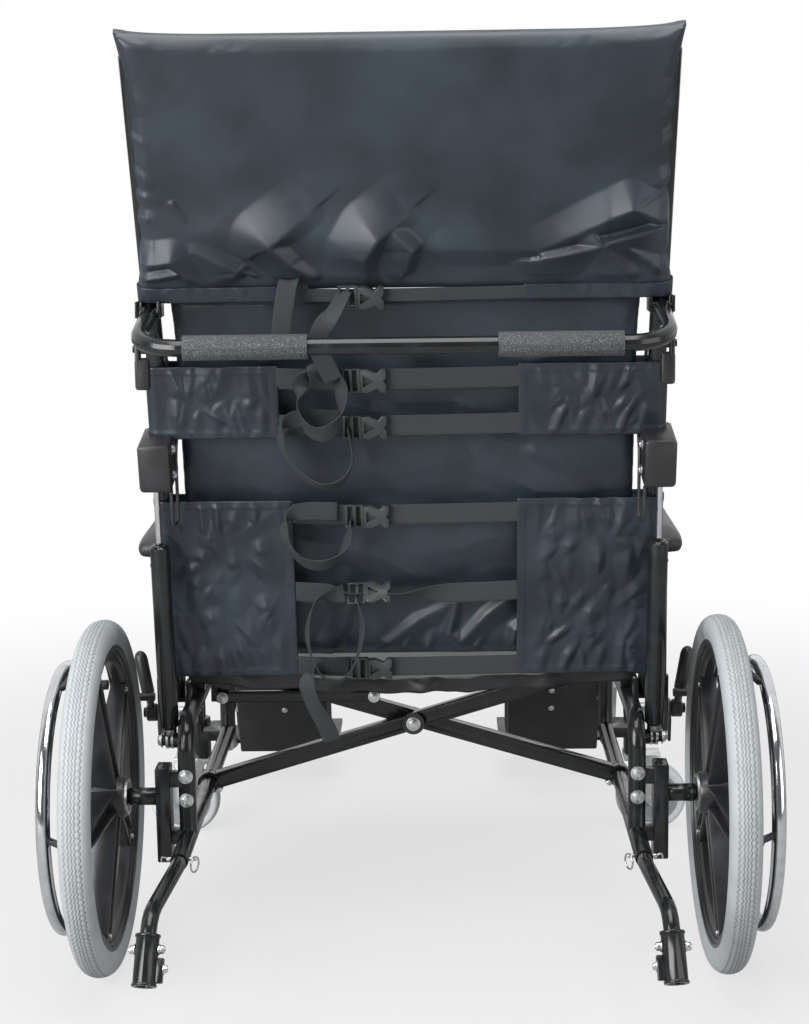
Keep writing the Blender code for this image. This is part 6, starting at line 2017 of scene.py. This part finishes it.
@dataclass
class BraceBolts(Assembly):
    """The bolts of the cross brace, of its collars on the rails and of its link."""

    rail_x: float = 0.322
    rail_z: float = 0.195
    collar_y: tuple[float, float] = (AXLE_Y + 0.248, AXLE_Y + 0.2695)
    link_x: tuple[float, float] = (-0.061, -0.297)
    link_z: float = 0.330

    def build(self) -> None:
        """Builds the washer and the bolts."""
        low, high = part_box("cross_bolt")
        x, z = (low.x + high.x) / 2, (low.z + high.z) / 2
        washer = [(0.0, 0.0), (0.0, 0.017), (0.003, 0.017), (0.003, 0.0)]
        rear = (x, low.y - 0.0002, z)
        self.hang(Bench.spun("brace_washer", washer, rear, (0, -1, 0), 40, False), "frame", BLACK_PLASTIC)
        pieces = [Bench.bolt((x, low.y - 0.0032, z), (0, -1, 0), 0.0085, 0.006)]
        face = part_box("cross_link")[0].y - 0.0002
        pieces += [Bench.bolt((x, face, self.link_z), (0, -1, 0), 0.0070, 0.004) for x in self.link_x]
        for side, y in zip(Side, self.collar_y):
            way = Vector((-0.8 * side.value, 0, -0.6))
            rail = Vector((side.value * self.rail_x, y, self.rail_z))
            pieces.append(Bench.bolt(rail + way * 0.0168, way, 0.0068, 0.0070))
        self.hang(Bench.fused("brace_bolts", pieces), "frame", ZINC)


@dataclass
class Studio:
    """Camera, floor and lights round the chair."""

    eye: tuple[float, float, float] = (0.0475, -2.977, 1.1401)
    yaw: float = math.radians(-1.12)
    pitch: float = math.radians(10.086)
    roll: float = math.radians(0.80)
    lens: float = 68.27
    floor_size: float = 40.0
    floor_tone: float = 0.42
    floor_mirrored: float = 0.22
    room: float = 0.16
    lamps: tuple[tuple[str, Point, Point, float, float], ...] = (
        ("top_lamp", (0.0, -0.9, 3.4), (0.0, 0.0, 0.4), 2.2, 90.0),
        ("key_lamp", (-2.4, -2.9, 1.8), (0.0, -0.2, 0.7), 2.4, 192.0),
        ("fill_lamp", (2.9, -2.4, 1.4), (0.0, 0.0, 0.6), 2.4, 45.0),
    )

    def build(self) -> None:
        """Builds the camera, the floor, the lights and the world."""
        self.build_camera()
        self.build_floor()
        self.build_lights()
        self.build_world()
        bpy.context.scene.view_settings.view_transform = "Standard"

    def build_camera(self) -> None:
        """Builds the camera behind the chair, a little above its grips."""
        view = bpy.data.cameras.new("camera")
        view.sensor_fit, view.sensor_height, view.lens = "VERTICAL", 36.0, self.lens
        camera = Bench.added("camera", view)
        ahead = Vector((math.sin(self.yaw), math.cos(self.yaw), 0.0))
        right = Vector((math.cos(self.yaw), -math.sin(self.yaw), 0.0))
        forward = ahead * math.cos(self.pitch) - Vector((0, 0, math.sin(self.pitch)))
        up = ahead * math.sin(self.pitch) + Vector((0, 0, math.cos(self.pitch)))
        across = right * math.cos(self.roll) - up * math.sin(self.roll)
        above = right * math.sin(self.roll) + up * math.cos(self.roll)
        turn = Matrix((across, above, -forward)).transposed()
        camera.matrix_world = Matrix.Translation(self.eye) @ turn.to_4x4()
        bpy.context.scene.camera = camera

    def build_floor(self) -> None:
        """Builds the pale floor, which keeps the chair's shadow and goes to white away from it."""
        Bench.free()
        bpy.ops.mesh.primitive_grid_add(x_subdivisions=4, y_subdivisions=4, size=self.floor_size)
        floor = Bench.settle(bpy.context.object, "floor")
        paint = Paint(bpy.data.materials.new("pale_floor"))
        tone = (self.floor_tone, self.floor_tone, self.floor_tone, 1.0)
        paint.feed({"Base Color": tone, "Roughness": 0.9, "Specular IOR Level": 0.0})
        reach = paint.node("ShaderNodeVectorMath", {"operation": "LENGTH"}, {0: paint.place()}, "Value")
        seen = self.ray(paint, "Is Camera Ray") + self.ray(paint, "Is Glossy Ray") * self.floor_mirrored
        glow = paint.node("ShaderNodeEmission", None, {"Strength": 1.0})
        share = seen * (reach.eased(0.8, 2.4) * 0.30 + 0.70)
        self.mingle(paint, share, Field(paint, paint.shader.outputs[0]), glow)
        floor.data.materials.append(paint.material)

    def ray(self, paint: Paint, kind: str) -> Field:
        """One where light is followed along one kind of ray, and zero elsewhere."""
        return paint.node("ShaderNodeLightPath", output=kind)

    def mingle(self, paint: Paint, share: Field, first: Field, second: Field) -> None:
        """Mixes two shaders and gives the mix to the output.

        Args:
            paint: The nodes to add to.
            share: How much of the second shader there is.
            first: The first shader.
            second: The second shader.
        """
        mixed = paint.node("ShaderNodeMixShader", None, {0: share, 1: first, 2: second})
        output = next(node for node in paint.tree.nodes if node.type.startswith("OUTPUT"))
        paint.join(output.inputs["Surface"], mixed)

    def build_lights(self) -> None:
        """Builds large soft lamps over the chair and on both sides of the camera."""
        for name, place, aim, size, power in self.lamps:
            lamp = bpy.data.lights.new(name, "AREA")
            lamp.shape, lamp.size, lamp.energy = "SQUARE", size, power
            holder = Bench.added(name, lamp)
            holder.location = place
            holder.rotation_euler = (Vector(aim) - Vector(place)).to_track_quat("-Z", "Y").to_euler()

    def build_world(self) -> None:
        """Builds a dim room for light, with a white backdrop to the camera and ahead in reflections."""
        paint = Paint(bpy.data.worlds.new("studio"))
        bpy.context.scene.world = paint.material
        ahead = paint.axis(paint.place("Generated"), "Y").eased(-0.30, 0.30)
        mirrored = self.ray(paint, "Is Glossy Ray") + self.ray(paint, "Is Transmission Ray")
        room = paint.node("ShaderNodeBackground", None, {"Color": (1, 1, 1, 1), "Strength": self.room})
        white = paint.node("ShaderNodeBackground", None, {"Color": (1, 1, 1, 1), "Strength": 1.0})
        self.mingle(paint, self.ray(paint, "Is Camera Ray") + mirrored * ahead, room, white)


@dataclass
class Framework(Assembly):
    """The frame's own rigid parts, with round tubes shaded round and sharp edges eased."""

    frame: dict
    edge: float = 0.0007
    flat: float = math.radians(1.0)

    def build(self) -> None:
        """Dresses every node, and finishes a copy of each that no other piece stands for."""
        parts = self.frame["record"]["subparts"]
        finishes = {part["node"]: NODE_FINISHES[part["material_slot"]] for part in parts}
        for name, node in self.frame["nodes"].items():
            finishes[name].dress(node)
            if name not in SOFT_NODES and not name.startswith(REMADE_NODES):
                part = self.eased_copy(node)
                self.hang(part, node["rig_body"], finishes[name], [name])

    def eased_copy(self, node: Piece) -> Piece:
        """A copy of a node with its facets joined and its edges eased.

        Args:
            node: The frame's node.

        Returns:
            The copy.
        """
        part = Bench.added(f"{node.name}_part", node.data.copy())
        Bench.outward(part)
        with Bench.editing(part):
            bpy.ops.mesh.dissolve_limited(angle_limit=self.flat)
        rounded = [edge for start, edge in ROUNDED_NODES.items() if node.name.startswith(start)]
        return Bench.settle(part, part.name, rounded[0] if rounded else self.edge, 3 if rounded else 2)


def main() -> None:
    """Builds the chair's looks in order."""
    logging.basicConfig(level=logging.INFO, format="%(relativeCreated)d ms %(name)s: %(message)s")
    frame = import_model()
    line = BackLine()
    Studio().build()
    pieces: list[Assembly] = [Framework(frame), HeadCover(line), BackCover(line), Strapping(line), Seat()]
    pieces += [Fittings(line, Side.LEFT), Fittings(line, Side.RIGHT), BraceBolts()]
    for side in Side:
        pieces += [ArmPad(side), CalfPad(side), RearWheel(side), CasterWheel(side)]
    for piece in pieces:
        LOG.info("building %s", type(piece).__name__)
        piece.build()


if __name__ == "__main__":
    main()
